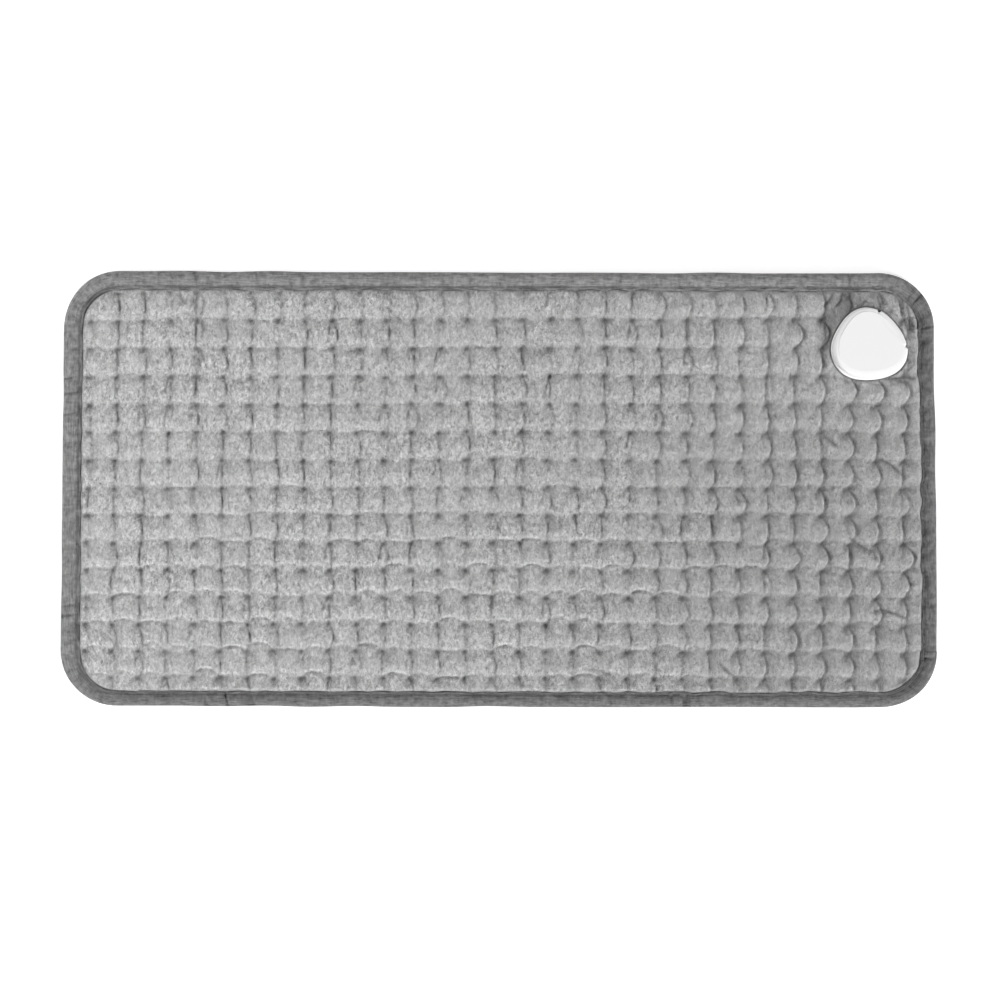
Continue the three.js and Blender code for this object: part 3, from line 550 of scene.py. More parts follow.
def tufted_top(material):
    """The plush top: the relief over a fine grid, leaning down and to the right."""
    x, y, faces = trimmed_grid(TOP_STEP, COVER_INSET, -1.4, rim_radius)
    near_housing = housing_distance(x, y)
    rise, pressed, painted_lip_light = tufted_relief(x, y, near_housing, crease_depth(x, y))
    right = smoothstep(60.0, 190.0, x)
    from_seam = seam_distance(x, y)
    lean = smoothstep(0.5, 6.0, from_seam) * smoothstep(0.0, 6.0, near_housing)
    under_tape = 1 - smoothstep(-0.5, 0.7, from_seam)
    z = TACK_LEVEL - 0.1 + rise - 0.6 * under_tape
    points = np.stack([x + 0.5 * right * lean * rise, y - 0.4 * lean * rise, z], -1)
    piece = make_piece("tufted_top", points.reshape(-1, 3), faces, material)
    # Painted light falloff: the plush is painted lighter at the left end and darker towards the right, most
    # at the near right.
    fade = 0.12 * smoothstep(-290.0, 100.0, x)
    fade = fade + 0.12 * smoothstep(0.0, 200.0, x) * smoothstep(90.0, 0.0, y)
    ruffle = (1 - 0.35 * right) * (0.8 + 0.2 * rolling_noise(x, y, 28.0, SEED + 12))
    store_masks(piece, pressed=pressed, pale=painted_lip_light * (1.11 - fade), ruffle=ruffle)
    close_below(piece, PLUSH_BASE)
    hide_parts("top_cover")


def plush_underside(material):
    """The flat plush below: dimples and grooves of the same tack grid pushed up into it."""
    x, y, faces = trimmed_grid(2 * TOP_STEP, COVER_INSET, 2.4)
    from_plate = plate_distance(x, y)
    rise, pressed = tufted_relief(x, -y, from_plate, np.zeros_like(x))[:2]
    depth = UNDERSIDE_PRESS * (1 - smoothstep(0.2, 3.2, rise)) * smoothstep(0.0, 3.0, from_plate - 1.2)
    points = np.stack([x, y, 0.02 + np.maximum(depth, 0.0)], -1)
    piece = make_piece("plush_underside", points.reshape(-1, 3), faces, material)
    # The underside takes the same darkening mask: flattened pile and painted shade in its dimples and
    # grooves.
    store_masks(piece, pressed=pressed, ruffle=np.full(x.size, 0.6), pale=np.full(x.size, 1.0))
    close_below(piece, UNDERSIDE_TOP)
    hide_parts("bottom_cover")


def inner_layer(name, node, low, high, inset, hole_grow, material):
    """One flat layer inside the pad: a fine grid that waves a little, closed round its edge."""
    x, y, faces = trimmed_grid(3.0, inset, hole_grow)
    wave = 0.12 * rolling_noise(x, y, 24.0, SEED + 9)
    points = np.stack([x, y, high - 0.14 + wave], -1)
    piece = make_piece(name, points.reshape(-1, 3), faces, material)
    close_below(piece, low)
    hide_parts(node)


# Binding tape


def round_the_edge(step):
    """Lengths, places and outward directions along the pad's outline, at even steps.

    The outline is a rectangle with round corners, and its parameter is the length along it.
    """
    straight_x = 2 * (HALF_LENGTH - CORNER_RADIUS)
    straight_y = 2 * (HALF_WIDTH - CORNER_RADIUS)
    quarter = CORNER_RADIUS * math.pi / 2
    total = 2 * (straight_x + straight_y) + 4 * quarter
    s = np.arange(int(total / step)) * total / int(total / step)
    starts = np.cumsum([0, straight_y, quarter, straight_x, quarter, straight_y, quarter, straight_x])
    part = np.searchsorted(starts, s, side="right") - 1
    t = s - starts[part]
    side = part // 2
    turn = np.where(part % 2 == 1, t / CORNER_RADIUS, 0.0) + side * math.pi / 2
    normal = np.stack([np.cos(turn), np.sin(turn)], -1)
    middle_x = np.array([1, -1, -1, 1])[side] * straight_x / 2
    middle_y = np.array([1, 1, -1, -1])[side] * straight_y / 2
    run = np.stack([-normal[:, 1], normal[:, 0]], -1)
    lengths = np.where(side % 2 == 0, straight_y, straight_x)
    back = np.where(part % 2 == 0, t - lengths, 0.0)
    place = np.stack([middle_x, middle_y], -1) + normal * CORNER_RADIUS
    place = place + run * back[:, None]
    return s, place, normal


# Half of the tape's section, from its inner fold to the outer edge: inset and height

TAPE_SECTION = [
    (12.5, 7.6), (12.6, 8.2), (12.3, 8.55), (11.9, 8.7), (11.5, 8.7), (11.0, 8.5), (10.5, 8.15),
    (9.9, 8.6), (9.0, 9.2), (7.8, 9.6), (6.6, 9.9), (5.6, 9.9), (4.4, 9.6), (3.2, 9.2), (2.2, 8.5),
    (1.3, 7.6), (0.6, 6.5), (0.15, 5.4), (0.0, 4.4),
]


def binding_tape(material):
    """The folded tape: its section carried round the edge, with crosswise wrinkles.

    The section is doubled by rounding between its points, mirrored for the underside
    and closed by a hidden inner line. Wrinkles are noise that is long across the tape
    and short along it, and the sharp folds are its peaks turned down. A point lies in
    from the edge by its inset times the band's width there. A darkening mask paints shade
    into the stitched seam, the inner lip on the right and the folds, and a scale of painted
    light makes each side of the pad lighter or darker by the way it faces, and the outer
    edge lighter on the left and darker at the near side.
    """
    upper = np.array(TAPE_SECTION)
    knots = np.arange(len(upper))
    fine = np.linspace(0, len(upper) - 1, 2 * len(upper) - 1)
    upper = np.stack([np.interp(fine, knots, upper[:, i]) for i in (0, 1)], -1)
    upper[1:-1] = 0.25 * upper[:-2] + 0.5 * upper[1:-1] + 0.25 * upper[2:]
    lower = upper[-2::-1].copy()
    lower[:, 1] = np.maximum(FOLD_LEVEL - (lower[:, 1] - FOLD_LEVEL) * 0.8, 0.05)
    inner_lower = np.stack([np.linspace(12.4, 3.6, 6), np.full(6, 1.1)], -1)
    inner_side = np.array([(2.0, 2.2), (1.1, 4.3), (2.0, 6.6)])
    inner_upper = np.stack([np.linspace(3.6, 12.3, 6), np.full(6, 7.45)], -1)
    section = np.vstack([upper, lower, inner_lower, inner_side, inner_upper])
    s, edge, normal = round_the_edge(TAPE_STEP)
    inset = section[:, 0][None, :]
    height = section[:, 1][None, :]
    outer = np.arange(len(section)) < len(upper) + len(lower)
    across = np.repeat(inset, len(s), 0)
    along = np.repeat(s[:, None], len(section), 1)
    wrinkle = rolling_noise(along, across * 0.7, 9.0, SEED + 20) * 0.8
    wrinkle = wrinkle + rolling_noise(along + 0.5 * across, across * 0.25, 3.8, SEED + 21) * 0.75
    sharp = np.maximum(rolling_noise(along + 0.2 * across, across * 0.1, 3.6, SEED + 22) - 0.55, 0.0)
    often = smoothstep(-0.2, 0.6, line_noise(along, 60.0, SEED + 24))
    sharp = sharp * (0.3 + 0.7 * often)
    wrinkle = wrinkle - 5.2 * sharp
    wrinkle = wrinkle * outer[None, :] * smoothstep(0.0, 2.0, across) * smoothstep(0.0, 2.5, 13.0 - across)
    above = height > FOLD_LEVEL
    up = np.where(above, 1.0, -0.6)
    z = np.clip(height + wrinkle * up, 0.04, None)
    across = across * (1 + band_extra(edge[:, 0], edge[:, 1])[:, None] / TAPE_REACH)
    to_right, to_far, to_left, to_near = (
        np.maximum(side, 0.0) for side in (normal[:, 0], normal[:, 1], -normal[:, 0], -normal[:, 1])
    )
    drawn = (0.9 + 0.3 * edge[:, 0] / HALF_LENGTH) * to_far**2
    drawn = drawn + 0.5 * to_near**2
    drawn = drawn + 0.9 * smoothstep(-40.0, 110.0, edge[:, 1]) * to_right**2
    wave = 0.4 * line_noise(along, 31.0, SEED + 23)
    pulled_in = np.maximum(drawn[:, None] + wave, 0.0) * (1 - smoothstep(0.0, 6.0, across))
    reach = -across - pulled_in
    flat = edge[:, None] + normal[:, None] * reach[..., None]
    points = np.concatenate([flat, z[..., None]], -1).reshape(-1, 3)
    faces = grid_faces(len(s), len(section), close_rows=True, close_columns=True)
    piece = make_piece("binding_tape", points, faces, material)
    store_uv(piece, along, np.repeat(np.arange(len(section))[None, :] * 0.6, len(s), 0))
    # Painted shade: dark along the stitched groove, more on the left and less at the near side, on the
    # inner lip where it faces right, and in the sharp folds.
    seam = np.exp(-(((inset - 10.5) / 0.8) ** 2)) * (0.7 + 0.6 * to_left - 0.6 * to_near)[:, None]
    lip = 0.25 * smoothstep(11.1, 11.9, inset) * smoothstep(0.0, 0.8, normal[:, 0])[:, None]
    pressed = np.maximum(0.62 * (seam + lip), np.clip(2.2 * sharp, 0.0, 1.0)) * above
    # Painted light and shade: each side of the tape lighter or darker by the way it faces, and its outer
    # edge lighter on the left and darker at the near side.
    pale = 0.99 - 0.185 * normal[:, 0] + 0.19 * normal[:, 1] + 0.12 * normal[:, 1] ** 2
    turned = 0.25 * to_left - 0.15 * to_near
    pale = pale[:, None] * (1 + turned[:, None] * np.exp(-inset / 3.5))
    store_masks(piece, pressed=pressed, pale=pale)
    turn_outwards(piece)
    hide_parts("edge_binding")


def stitch_row(material):
    """The stitching: one small rounded stitch after another along the seam.

    Each stitch is a ring of six points carried over a low arc, thin at both ends.
    """
    s, edge, normal = round_the_edge(STITCH_PITCH)
    inset = STITCH_INSET * (1 + band_extra(edge[:, 0], edge[:, 1]) / TAPE_REACH)
    place = edge - normal * inset[:, None]
    run = np.stack([-normal[:, 1], normal[:, 0]], -1)
    t = np.linspace(-1.0, 1.0, STITCH_RINGS)
    ring = np.arange(STITCH_SIDES) * 2 * math.pi / STITCH_SIDES
    along = t * STITCH_PITCH * 0.47
    thick = 0.24 * np.sqrt(np.maximum(1 - t**4, 0.02))
    lift = 8.2 + 0.3 * (1 - t**2)
    side = np.cos(ring)[None, :] * thick[:, None] * 1.2
    up = lift[:, None] + np.sin(ring)[None, :] * thick[:, None]
    flat = place[:, None, None] + run[:, None, None] * along[:, None, None]
    flat = flat + normal[:, None, None] * side[..., None]
    points = np.concatenate([flat, np.repeat(up[None, ..., None], len(s), 0)], -1).reshape(-1, 3)
    one = grid_faces(STITCH_RINGS, STITCH_SIDES, close_columns=True)
    offsets = (np.arange(len(s)) * STITCH_RINGS * STITCH_SIDES)[:, None, None]
    sides = (one[None] + offsets).reshape(-1, 4)
    piece = make_piece("seam_stitches", points, sides, material)
    turn_outwards(piece, STITCH_SIDES)
    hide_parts("binding_stitching")


# Inlet housing


def housing_points(angle, grow, z):
    """Points of the housing's outline, grown outwards by some amount, at a height.

    The notches go with the outer points only.
    """
    r = rim_radius(angle) + grow - notch_depth(angle) * smoothstep(-3.4, -0.8, grow)
    x = HOUSING_X + r * np.cos(angle)
    y = HOUSING_Y + r * np.sin(angle)
    return np.stack([x, y, np.broadcast_to(z, x.shape)], -1)


def cap_shell(material):
    """The white cap: a profile of growth and height carried round the outline.

    The top is a low plateau, which falls by a step inside a circle over the lip. The
    outline is notched at both ends of the lip. The mouth is cut out afterwards.
    """
    angles = np.linspace(0.0, 2 * math.pi, 480, endpoint=False) + MOUTH_ANGLE
    arc = np.linspace(0.0, math.pi / 2, 9)
    wall = [(0.0, CAP_BASE), (0.0, 11.6), (0.0, 13.0), (0.0, 15.0)]
    shoulder = CAP_TOP - CAP_PLATEAU
    rounding = CAP_ROUND + ROUND_SWING * np.cos(angles - ROUND_TURN)
    flat = np.ones_like(angles)
    outer = [(grow * flat, z * flat) for grow, z in wall]
    outer += [(rounding * (math.cos(a) - 1), shoulder + rounding * (math.sin(a) - 1)) for a in arc]
    plateau = rounding + PLATEAU_LEDGE
    ramp = 0.7 + 0.4 * np.cos(angles - ROUND_TURN)
    outer += [(ramp - plateau, shoulder * flat), (-plateau, CAP_TOP * flat)]
    outer = np.array(outer)
    rings = housing_points(angles, outer[:, 0], outer[:, 1])
    shares = np.linspace(1.0, 0.02, 62)[1:]
    top_r = (rim_radius(angles) - plateau)[None, :] * shares[:, None]
    top_x = HOUSING_X + top_r * np.cos(angles)[None, :]
    top_y = HOUSING_Y + top_r * np.sin(angles)[None, :]
    top = np.stack([top_x, top_y, np.full_like(top_x, CAP_TOP)], -1)
    skin = shape_cap_front(np.concatenate([rings, top], 0))
    inner = housing_points(angles, np.full((2, 1), -CAP_WALL), np.array([[CAP_BASE], [CAP_CEILING]]))
    points = np.concatenate([skin[::-1], inner], 0)
    faces = grid_faces(len(points), len(angles), close_columns=True)
    piece = make_piece("cap_shell", points.reshape(-1, 3), faces, material)
    turn_outwards(piece, 0)
    across = (-MOUTH_HALF_WIDTH, MOUTH_HALF_WIDTH)
    cut_box(piece, (MOUTH_START, MOUTH_END), across, (CAP_BASE - 2.0, CAP_CEILING))
    smooth_by_angle(piece)
    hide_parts("socket_cap")


def shape_cap_front(points):
    """The step in the cap's top at the mouth's side, as a move of its points."""
    c = math.cos(MOUTH_ANGLE)
    s = math.sin(MOUTH_ANGLE)
    dx = points[..., 0] - HOUSING_X
    dy = points[..., 1] - HOUSING_Y
    u = dx * c + dy * s
    v = -dx * s + dy * c
    z = points[..., 2]
    from_circle = smoothstep(STEP_RADIUS, STEP_RADIUS + STEP_EASE, np.hypot(u - STEP_MIDDLE, v))
    step = STEP_DEPTH * (1 - from_circle)
    return np.stack([points[..., 0], points[..., 1], z - step * smoothstep(17.5, 18.6, z)], -1)


def cut_box(piece, reach_u, reach_v, reach_z):
    """Cuts a box, set along the mouth's direction, out of a closed piece."""
    c = math.cos(MOUTH_ANGLE)
    s = math.sin(MOUTH_ANGLE)
    corners = []
    for z in reach_z:
        for u, v in ((0, 0), (1, 0), (1, 1), (0, 1)):
            pu = reach_u[u]
            pv = reach_v[v]
            corners.append((HOUSING_X + pu * c - pv * s, HOUSING_Y + pu * s + pv * c, z))
    quads = [(0, 3, 2, 1), (4, 5, 6, 7), (0, 1, 5, 4), (1, 2, 6, 5), (2, 3, 7, 6), (3, 0, 4, 7)]
    mesh = bpy.data.meshes.new("cutter")
    mesh.from_pydata((np.array(corners) * MM).tolist(), [], quads)
    cutter = put_in_scene("cutter", mesh)
    modifier = piece.modifiers.new("mouth", "BOOLEAN")
    modifier.operation = "DIFFERENCE"
    modifier.solver = "EXACT"
    modifier.object = cutter
    graph = bpy.context.evaluated_depsgraph_get()
    made = bpy.data.meshes.new_from_object(piece.evaluated_get(graph))
    piece.modifiers.clear()
    piece.data = made
    bpy.data.objects.remove(cutter)


def smooth_by_angle(piece):
    """Smooth shading, broken where two faces meet at more than the sharp angle."""
    piece.data.polygons.foreach_set("use_smooth", np.full(len(piece.data.polygons), True))
    piece.data.set_sharp_from_angle(angle=SHARP_ANGLE)


def clamp_band(material):
    """The band under the cap: a closed section carried round the outline."""
    angles = np.linspace(0.0, 2 * math.pi, 360, endpoint=False)
    arc = np.linspace(0.0, math.pi / 2, 6)
    section = [(-9.6, BAND_BASE), (BAND_REACH, BAND_BASE)]
    section += [
        (BAND_REACH - 0.5 + 0.5 * math.cos(a), BAND_TOP - 0.5 + 0.5 * math.sin(a)) for a in arc
    ]
    section += [(-0.4, BAND_TOP), (-9.6, BAND_TOP)]
    section = np.array(section)
    points = housing_points(angles, section[:, :1], section[:, 1:])
    faces = grid_faces(len(section), len(angles), close_rows=True, close_columns=True)
    piece = make_piece("clamp_band", points.reshape(-1, 3), faces, material)
    turn_outwards(piece)
    smooth_by_angle(piece)
    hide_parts("clamp_frame")


# Materials


def shader_group(name, inputs, outputs):
    """A node group with named number or vector inputs and outputs."""
    tree = bpy.data.node_groups.new(name, "ShaderNodeTree")
    for label, value in inputs:
        kind = "NodeSocketVector" if value is None else "NodeSocketFloat"
        socket = tree.interface.new_socket(label, in_out="INPUT", socket_type=kind)
        if value is not None:
            socket.default_value = value
    for label in outputs:
        tree.interface.new_socket(label, in_out="OUTPUT", socket_type="NodeSocketFloat")
    ends = (tree.nodes.new("NodeGroupInput"), tree.nodes.new("NodeGroupOutput"))
    return tree, ends[0].outputs, ends[1].inputs


def link(tree, source, target):
    """Joins an output to an input, or writes a plain value into it."""
    if isinstance(source, (int, float, tuple)):
        target.default_value = source
    else:
        tree.links.new(source, target)


def math_node(tree, operation, first, second):
    """One sum, product or other operation on two numbers."""
    made = tree.nodes.new("ShaderNodeMath")
    made.operation = operation
    link(tree, first, made.inputs[0])
    link(tree, second, made.inputs[1])
    return made.outputs[0]


def noise_node(tree, place, scale, detail, roughness=0.5, distortion=0.0):
    """Noise from 0 to 1 at a place, with a scale in repeats per metre."""
    made = tree.nodes.new("ShaderNodeTexNoise")
    link(tree, place, made.inputs["Vector"])
    link(tree, scale, made.inputs["Scale"])
    made.inputs["Detail"].default_value = detail
    made.inputs["Roughness"].default_value = roughness
    made.inputs["Distortion"].default_value = distortion
    return made.outputs["Fac"]


def ramp_node(tree, value, low, high, to_low, to_high):
    """Maps one range of a number onto another, and holds it there."""
    made = tree.nodes.new("ShaderNodeMapRange")
    link(tree, value, made.inputs["Value"])
    link(tree, low, made.inputs["From Min"])
    link(tree, high, made.inputs["From Max"])
    link(tree, to_low, made.inputs["To Min"])
    link(tree, to_high, made.inputs["To Max"])
    return made.outputs["Result"]


def attribute_node(tree, name):
    """The number that a piece stores for each of its points under a name."""
    made = tree.nodes.new("ShaderNodeAttribute")
    made.attribute_name = name
    return made.outputs["Fac"]


def scaled_place(tree, place, scale):
    """A place, scaled along each axis."""
    made = tree.nodes.new("ShaderNodeMapping")
    link(tree, place, made.inputs["Vector"])
    made.inputs["Scale"].default_value = scale
    return made.outputs[0]


def weighed_sum(tree, *terms):
    """The sum of some numbers, each times its weight."""
    total = 0.0
    for value, weight in terms:
        total = math_node(tree, "ADD", math_node(tree, "MULTIPLY", value, weight), total)
    return total


def put_out(tree, given, out, pattern, middle, height):
    """Puts out a shade round 1, which swings with a pattern round its middle, and a height."""
    off = math_node(tree, "SUBTRACT", pattern, middle)
    swing = math_node(tree, "MULTIPLY", off, given["Contrast"])
    link(tree, math_node(tree, "ADD", swing, 1.0), out["Shade"])
    link(tree, height, out["Height"])


def wave_node(tree, value, length):
    """A sine wave along a number, with half its wave as long as a length."""
    turn = math_node(tree, "DIVIDE", math.pi, length)
    return math_node(tree, "SINE", math_node(tree, "MULTIPLY", value, turn), 0.0)


def pile_group():
    """Woolly pile: clumps of fibre over fine fibre, longer along y, as a shade and a height."""
    inputs = [("Place", None), ("Clump", 0.003), ("Fibre", 0.0007), ("Contrast", 0.3)]
    tree, given, out = shader_group("pile", inputs, ["Shade", "Height"])
    place = scaled_place(tree, given["Place"], (1.25, 0.7, 1.0))
    clump = noise_node(tree, place, math_node(tree, "DIVIDE", 1.0, given["Clump"]), 3.0, 0.6, 0.6)
    fibre = noise_node(tree, place, math_node(tree, "DIVIDE", 1.0, given["Fibre"]), 2.0, 0.6, 1.2)
    both = weighed_sum(tree, (clump, 0.55), (fibre, 0.45))
    put_out(tree, given, out, both, 0.5, both)
    return tree


def weave_group():
    """Plain weave: ribs across the other ribs, from two sine waves, as a shade and a height."""
    inputs = [("Place", None), ("Thread", 0.0005), ("Contrast", 0.2)]
    tree, given, out = shader_group("weave", inputs, ["Shade", "Height"])
    split = tree.nodes.new("ShaderNodeSeparateXYZ")
    link(tree, given["Place"], split.inputs[0])
    warp = wave_node(tree, split.outputs[0], given["Thread"])
    weft = wave_node(tree, split.outputs[1], given["Thread"])
    cross = math_node(tree, "MULTIPLY", warp, weft)
    uneven = noise_node(tree, given["Place"], 260.0, 3.0)
    height = weighed_sum(tree, (cross, 0.5), (uneven, 1.0))
    put_out(tree, given, out, height, 0.5, height)
    return tree


def tape_group():
    """Tape: fibres along it, puckers and fine ribs across it, and blotches."""
    inputs = [("Place", None), ("Rib", 0.00045), ("Contrast", 0.3)]
    tree, given, out = shader_group("tape_fibres", inputs, ["Shade", "Height"])
    along = scaled_place(tree, given["Place"], (0.09, 1.0, 1.0))
    across = scaled_place(tree, given["Place"], (1.0, 0.15, 1.0))
    streak = noise_node(tree, along, 1100.0, 3.0, 0.6)
    pucker = noise_node(tree, across, 420.0, 2.0, 0.6)
    blotch = noise_node(tree, given["Place"], 240.0, 3.0, 0.6)
    split = tree.nodes.new("ShaderNodeSeparateXYZ")
    link(tree, given["Place"], split.inputs[0])
    rib = wave_node(tree, split.outputs[0], given["Rib"])
    both = weighed_sum(tree, (streak, 0.75), (rib, 0.08), (blotch, 0.85), (pucker, 0.2))
    put_out(tree, given, out, both, 0.9, both)
    return tree


def skin_group():
    """Moulded skin: a fine spark-worn grain and faint flow marks."""
    inputs = [("Place", None), ("Grain", 0.0003), ("Contrast", 0.05)]
    tree, given, out = shader_group("moulded_skin", inputs, ["Shade", "Height"])
    grain = noise_node(tree, given["Place"], math_node(tree, "DIVIDE", 1.0, given["Grain"]), 2.0, 0.6)
    flow = noise_node(tree, given["Place"], 90.0, 2.0)
    put_out(tree, given, out, weighed_sum(tree, (grain, 0.4), (flow, 0.6)), 0.5, grain)
    return tree


def finish_material(
    name, colour, group, values, bump, roughness, uv=False, pressed=0.0, ruffled=0.0, painted_light=False, **sockets
):
    """A material from one group: its shade tints the colour and its height is the bump.

    Three masks that a piece may store change it: ruffle scales the group's contrast, a mask of
    flattened pile and painted shade darkens the colour by up to the given share, and a scale of
    painted light and shade multiplies it.
    """
    material = bpy.data.materials.new(name)
    material.use_nodes = True
    tree = material.node_tree
    shader = tree.nodes["Principled BSDF"]
    place = tree.nodes.new("ShaderNodeTexCoord").outputs["UV" if uv else "Object"]
    pattern = tree.nodes.new("ShaderNodeGroup")
    pattern.node_tree = group
    link(tree, place, pattern.inputs["Place"])
    for label, value in values.items():
        pattern.inputs[label].default_value = value
    if ruffled:
        contrast = math_node(tree, "MULTIPLY", attribute_node(tree, "ruffle"), ruffled)
        link(tree, contrast, pattern.inputs["Contrast"])
    shade = pattern.outputs["Shade"]
    if pressed:
        dark = math_node(tree, "MULTIPLY", attribute_node(tree, "pressed"), -pressed)
        shade = math_node(tree, "MULTIPLY", shade, math_node(tree, "ADD", dark, 1.0))
    if painted_light:
        shade = math_node(tree, "MULTIPLY", shade, attribute_node(tree, "pale"))
    tint = tree.nodes.new("ShaderNodeVectorMath")
    tint.operation = "SCALE"
    tint.inputs[0].default_value = colour
    link(tree, shade, tint.inputs["Scale"])
    link(tree, tint.outputs[0], shader.inputs["Base Color"])
    relief = tree.nodes.new("ShaderNodeBump")
    relief.inputs["Distance"].default_value = bump
    relief.inputs["Strength"].default_value = 1.0
    link(tree, pattern.outputs["Height"], relief.inputs["Height"])
    link(tree, relief.outputs[0], shader.inputs["Normal"])
    shader.inputs["Roughness"].default_value = roughness
    for label, value in sockets.items():
        shader.inputs[label.replace("_", " ")].default_value = value
    return material


def grey(level):
    """A neutral colour from a grey level of 0 to 255, made linear."""
    share = level / 255
    linear = ((share + 0.055) / 1.055) ** 2.4
    return (linear, linear, linear)


# Floor, lights and camera


def seen_by(tree, *others):
    """1 for a ray from the camera or of the other kinds that are named, else 0."""
    path = tree.nodes.new("ShaderNodeLightPath")
    seen = path.outputs["Is Camera Ray"]
    for other in others:
        seen = math_node(tree, "MAXIMUM", seen, path.outputs[other])
    return seen


def white_floor():
    """A wide whitish floor just below the pad, which glows more where the lamps don't reach."""
    mesh = bpy.data.meshes.new("floor")
    corners = [(-6, -6, -0.0004), (6, -6, -0.0004), (6, 6, -0.0004), (-6, 6, -0.0004)]
    mesh.from_pydata(corners, [], [(0, 1, 2, 3)])
    floor = put_in_scene("floor", mesh)
    material = bpy.data.materials.new("floor_paper")
    material.use_nodes = True
    tree = material.node_tree
    tree.nodes.clear()
    paint = tree.nodes.new("ShaderNodeBsdfDiffuse")
    paint.inputs["Color"].default_value = (0.78, 0.78, 0.78, 1)
    glow = tree.nodes.new("ShaderNodeEmission")
    glow.inputs["Color"].default_value = (1, 1, 1, 1)
    seen = seen_by(tree, "Is Glossy Ray", "Is Transmission Ray")
    away = tree.nodes.new("ShaderNodeVectorMath")
    away.operation = "LENGTH"
    link(tree, tree.nodes.new("ShaderNodeTexCoord").outputs["Object"], away.inputs[0])
    level = ramp_node(tree, away.outputs["Value"], 0.7, 2.5, 0.63, 1.0)
    link(tree, math_node(tree, "MULTIPLY", seen, level), glow.inputs["Strength"])
    both = tree.nodes.new("ShaderNodeAddShader")
    link(tree, paint.outputs[0], both.inputs[0])
    link(tree, glow.outputs[0], both.inputs[1])
    out = tree.nodes.new("ShaderNodeOutputMaterial")
    link(tree, both.outputs[0], out.inputs["Surface"])
    mesh.materials.append(material)


def light_tent(overhead, level):
    """Light from all round, weaker overhead than at eye level, and plain white to look at."""
    world = bpy.data.worlds.new("tent")
    bpy.context.scene.world = world
    world.use_nodes = True
    tree = world.node_tree
    back = tree.nodes["Background"]
    back.inputs["Color"].default_value = (1, 1, 1, 1)
    place = tree.nodes.new("ShaderNodeTexCoord").outputs["Generated"]
    split = tree.nodes.new("ShaderNodeSeparateXYZ")
    link(tree, place, split.inputs[0])
    glow = ramp_node(tree, split.outputs[2], 0.1, 0.9, level, overhead)
    seen = seen_by(tree, "Is Transmission Ray")
    link(tree, ramp_node(tree, seen, 0.0, 1.0, glow, 1.0), back.inputs["Strength"])


def soft_light(name, place, size, power, aim=(0.0, 0.0, 0.0)):
    """A large square lamp at a place, turned to face its aim."""
    lamp = bpy.data.lights.new(name, "AREA")
    lamp.shape = "RECTANGLE"
    lamp.size = size[0]
    lamp.size_y = size[1]
    lamp.energy = power
    held = put_in_scene(name, lamp)
    held.location = place
    held.rotation_euler = (held.location - Vector(aim)).to_track_quat("Z", "Y").to_euler()


def overhead_camera():
    """The photograph's view: from almost straight above, a little towards the near edge."""
    lens = bpy.data.cameras.new("camera")
    lens.lens = FOCAL_LENGTH
    lens.sensor_width = 36.0
    lens.clip_start = 0.05
    camera = put_in_scene("camera", lens)
    x, y, z = CAMERA_AIM
    back = CAMERA_DISTANCE * math.sin(CAMERA_TILT)
    camera.location = (x, y - back, z + CAMERA_DISTANCE * math.cos(CAMERA_TILT))
    camera.rotation_euler = (CAMERA_TILT, 0.0, CAMERA_ROLL)
    bpy.context.scene.camera = camera


bpy.context.scene.view_settings.view_transform = "Standard"
overhead_camera()

pile = pile_group()
weave = weave_group()
skin = skin_group()
ribbon = tape_group()

# The plush's darkening mask is flattened pile and painted shade, and its scale is painted light and shade.
plush = finish_material(
    "plush", grey(193), pile, {"Clump": 0.0026, "Fibre": 0.0010, "Contrast": 1.1}, 0.0032, 1.0,
    pressed=0.72, ruffled=3.9, painted_light=True, Sheen_Weight=0.25, Specular_IOR_Level=0.1,
)
# The tape's darkening mask is painted shade in its seam, lip and folds, and its scale is painted light and
# shade by the way each side faces.
tape = finish_material(
    "binding_tape", grey(125), ribbon, {"Rib": 0.00045, "Contrast": 2.1}, 0.0014, 0.8,
    uv=True, pressed=0.4, painted_light=True, Specular_IOR_Level=0.25, Sheen_Weight=0.15,
)
thread = finish_material(
    "thread", grey(120), weave, {"Thread": 0.0003, "Contrast": 0.3}, 0.0001, 0.7,
)
felt = finish_material(
    "felt", grey(225), pile, {"Clump": 0.006, "Fibre": 0.0012, "Contrast": 0.2}, 0.0004, 1.0,
)
white_plastic = finish_material(
    "white_plastic", grey(241), skin, {"Grain": 0.0004, "Contrast": 0.02}, 0.00001, 0.5,
    Specular_IOR_Level=0.1,
)
dark_plastic = finish_material(
    "dark_plastic", grey(52), skin, {"Grain": 0.0003, "Contrast": 0.2}, 0.00003, 0.5,
)
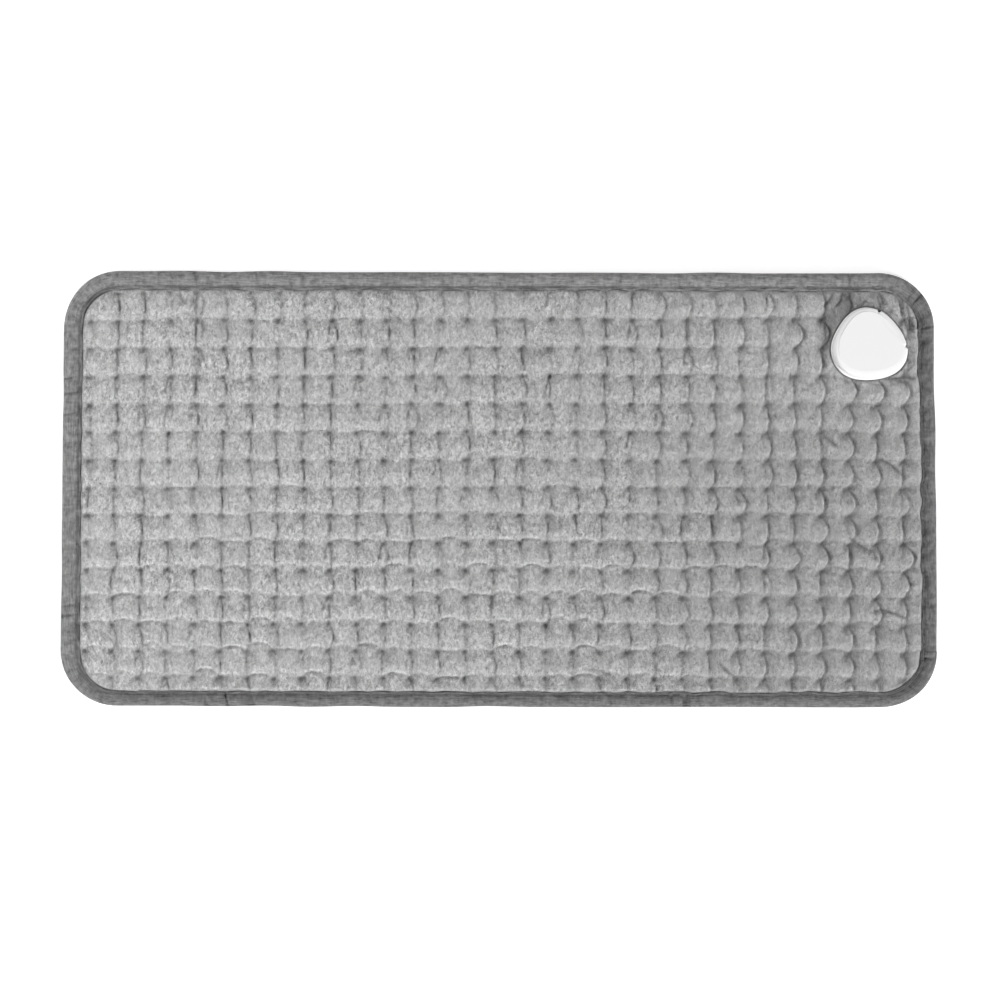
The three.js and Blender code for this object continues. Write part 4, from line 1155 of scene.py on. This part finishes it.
wire_coat = finish_material(
    "wire_coat", (0.62, 0.55, 0.42), skin, {"Grain": 0.0005, "Contrast": 0.15}, 0.00002, 0.45,
)
lead_coat = finish_material(
    "lead_coat", grey(205), skin, {"Grain": 0.0005, "Contrast": 0.15}, 0.00002, 0.5,
)
shrink_tube = finish_material(
    "shrink_tube", grey(40), skin, {"Grain": 0.0006, "Contrast": 0.4}, 0.00004, 0.6,
)
board = finish_material(
    "board", (0.35, 0.27, 0.13), weave, {"Thread": 0.0007, "Contrast": 0.2}, 0.00003, 0.5,
)
contact_brass = finish_material(
    "contact_brass", (0.78, 0.58, 0.28), skin,
    {"Grain": 0.0002, "Contrast": 0.2}, 0.00001, 0.3, Metallic=1.0,
)
steel = finish_material(
    "steel", (0.55, 0.55, 0.56), skin, {"Grain": 0.0002, "Contrast": 0.25}, 0.00001, 0.35, Metallic=1.0,
)

NODE_FINISHES = {
    "heating_wire": wire_coat,
    "thermal_cutout": steel,
    "cutout_sleeve": shrink_tube,
    "splice": shrink_tube,
    "supply_lead": lead_coat,
    "return_lead": lead_coat,
    "back_shell": white_plastic,
    "socket_block": dark_plastic,
    "terminal_board": board,
    "lead_clamp": dark_plastic,
    "contact_blade": contact_brass,
    "housing_screw": steel,
    "clamp_screw": steel,
}

for name, node in nodes.items():
    for start, material in NODE_FINISHES.items():
        if name.startswith(start):
            node.data.materials.clear()
            node.data.materials.append(material)

tufted_top(plush)
plush_underside(plush)
inner_layer("felt_batting", "batting", 6.42, 7.18, 9.2, -8.0, felt)
inner_layer("felt_upper_sheet", "upper_heater_sheet", 5.62, 6.38, 6.2, 1.0, felt)
inner_layer("felt_lower_sheet", "lower_heater_sheet", 2.02, 2.78, 6.2, 1.0, felt)
binding_tape(tape)
stitch_row(thread)
cap_shell(white_plastic)
clamp_band(white_plastic)

white_floor()
light_tent(0.085, 0.33)
soft_light("main_light", (2.5, -2.7, 1.9), (1.7, 1.2), 200.0)
soft_light("left_light", (-1.9, -0.1, 0.9), (0.9, 0.7), 26.0)
soft_light("far_light", (-0.2, 1.9, 0.9), (1.1, 0.7), 13.0)
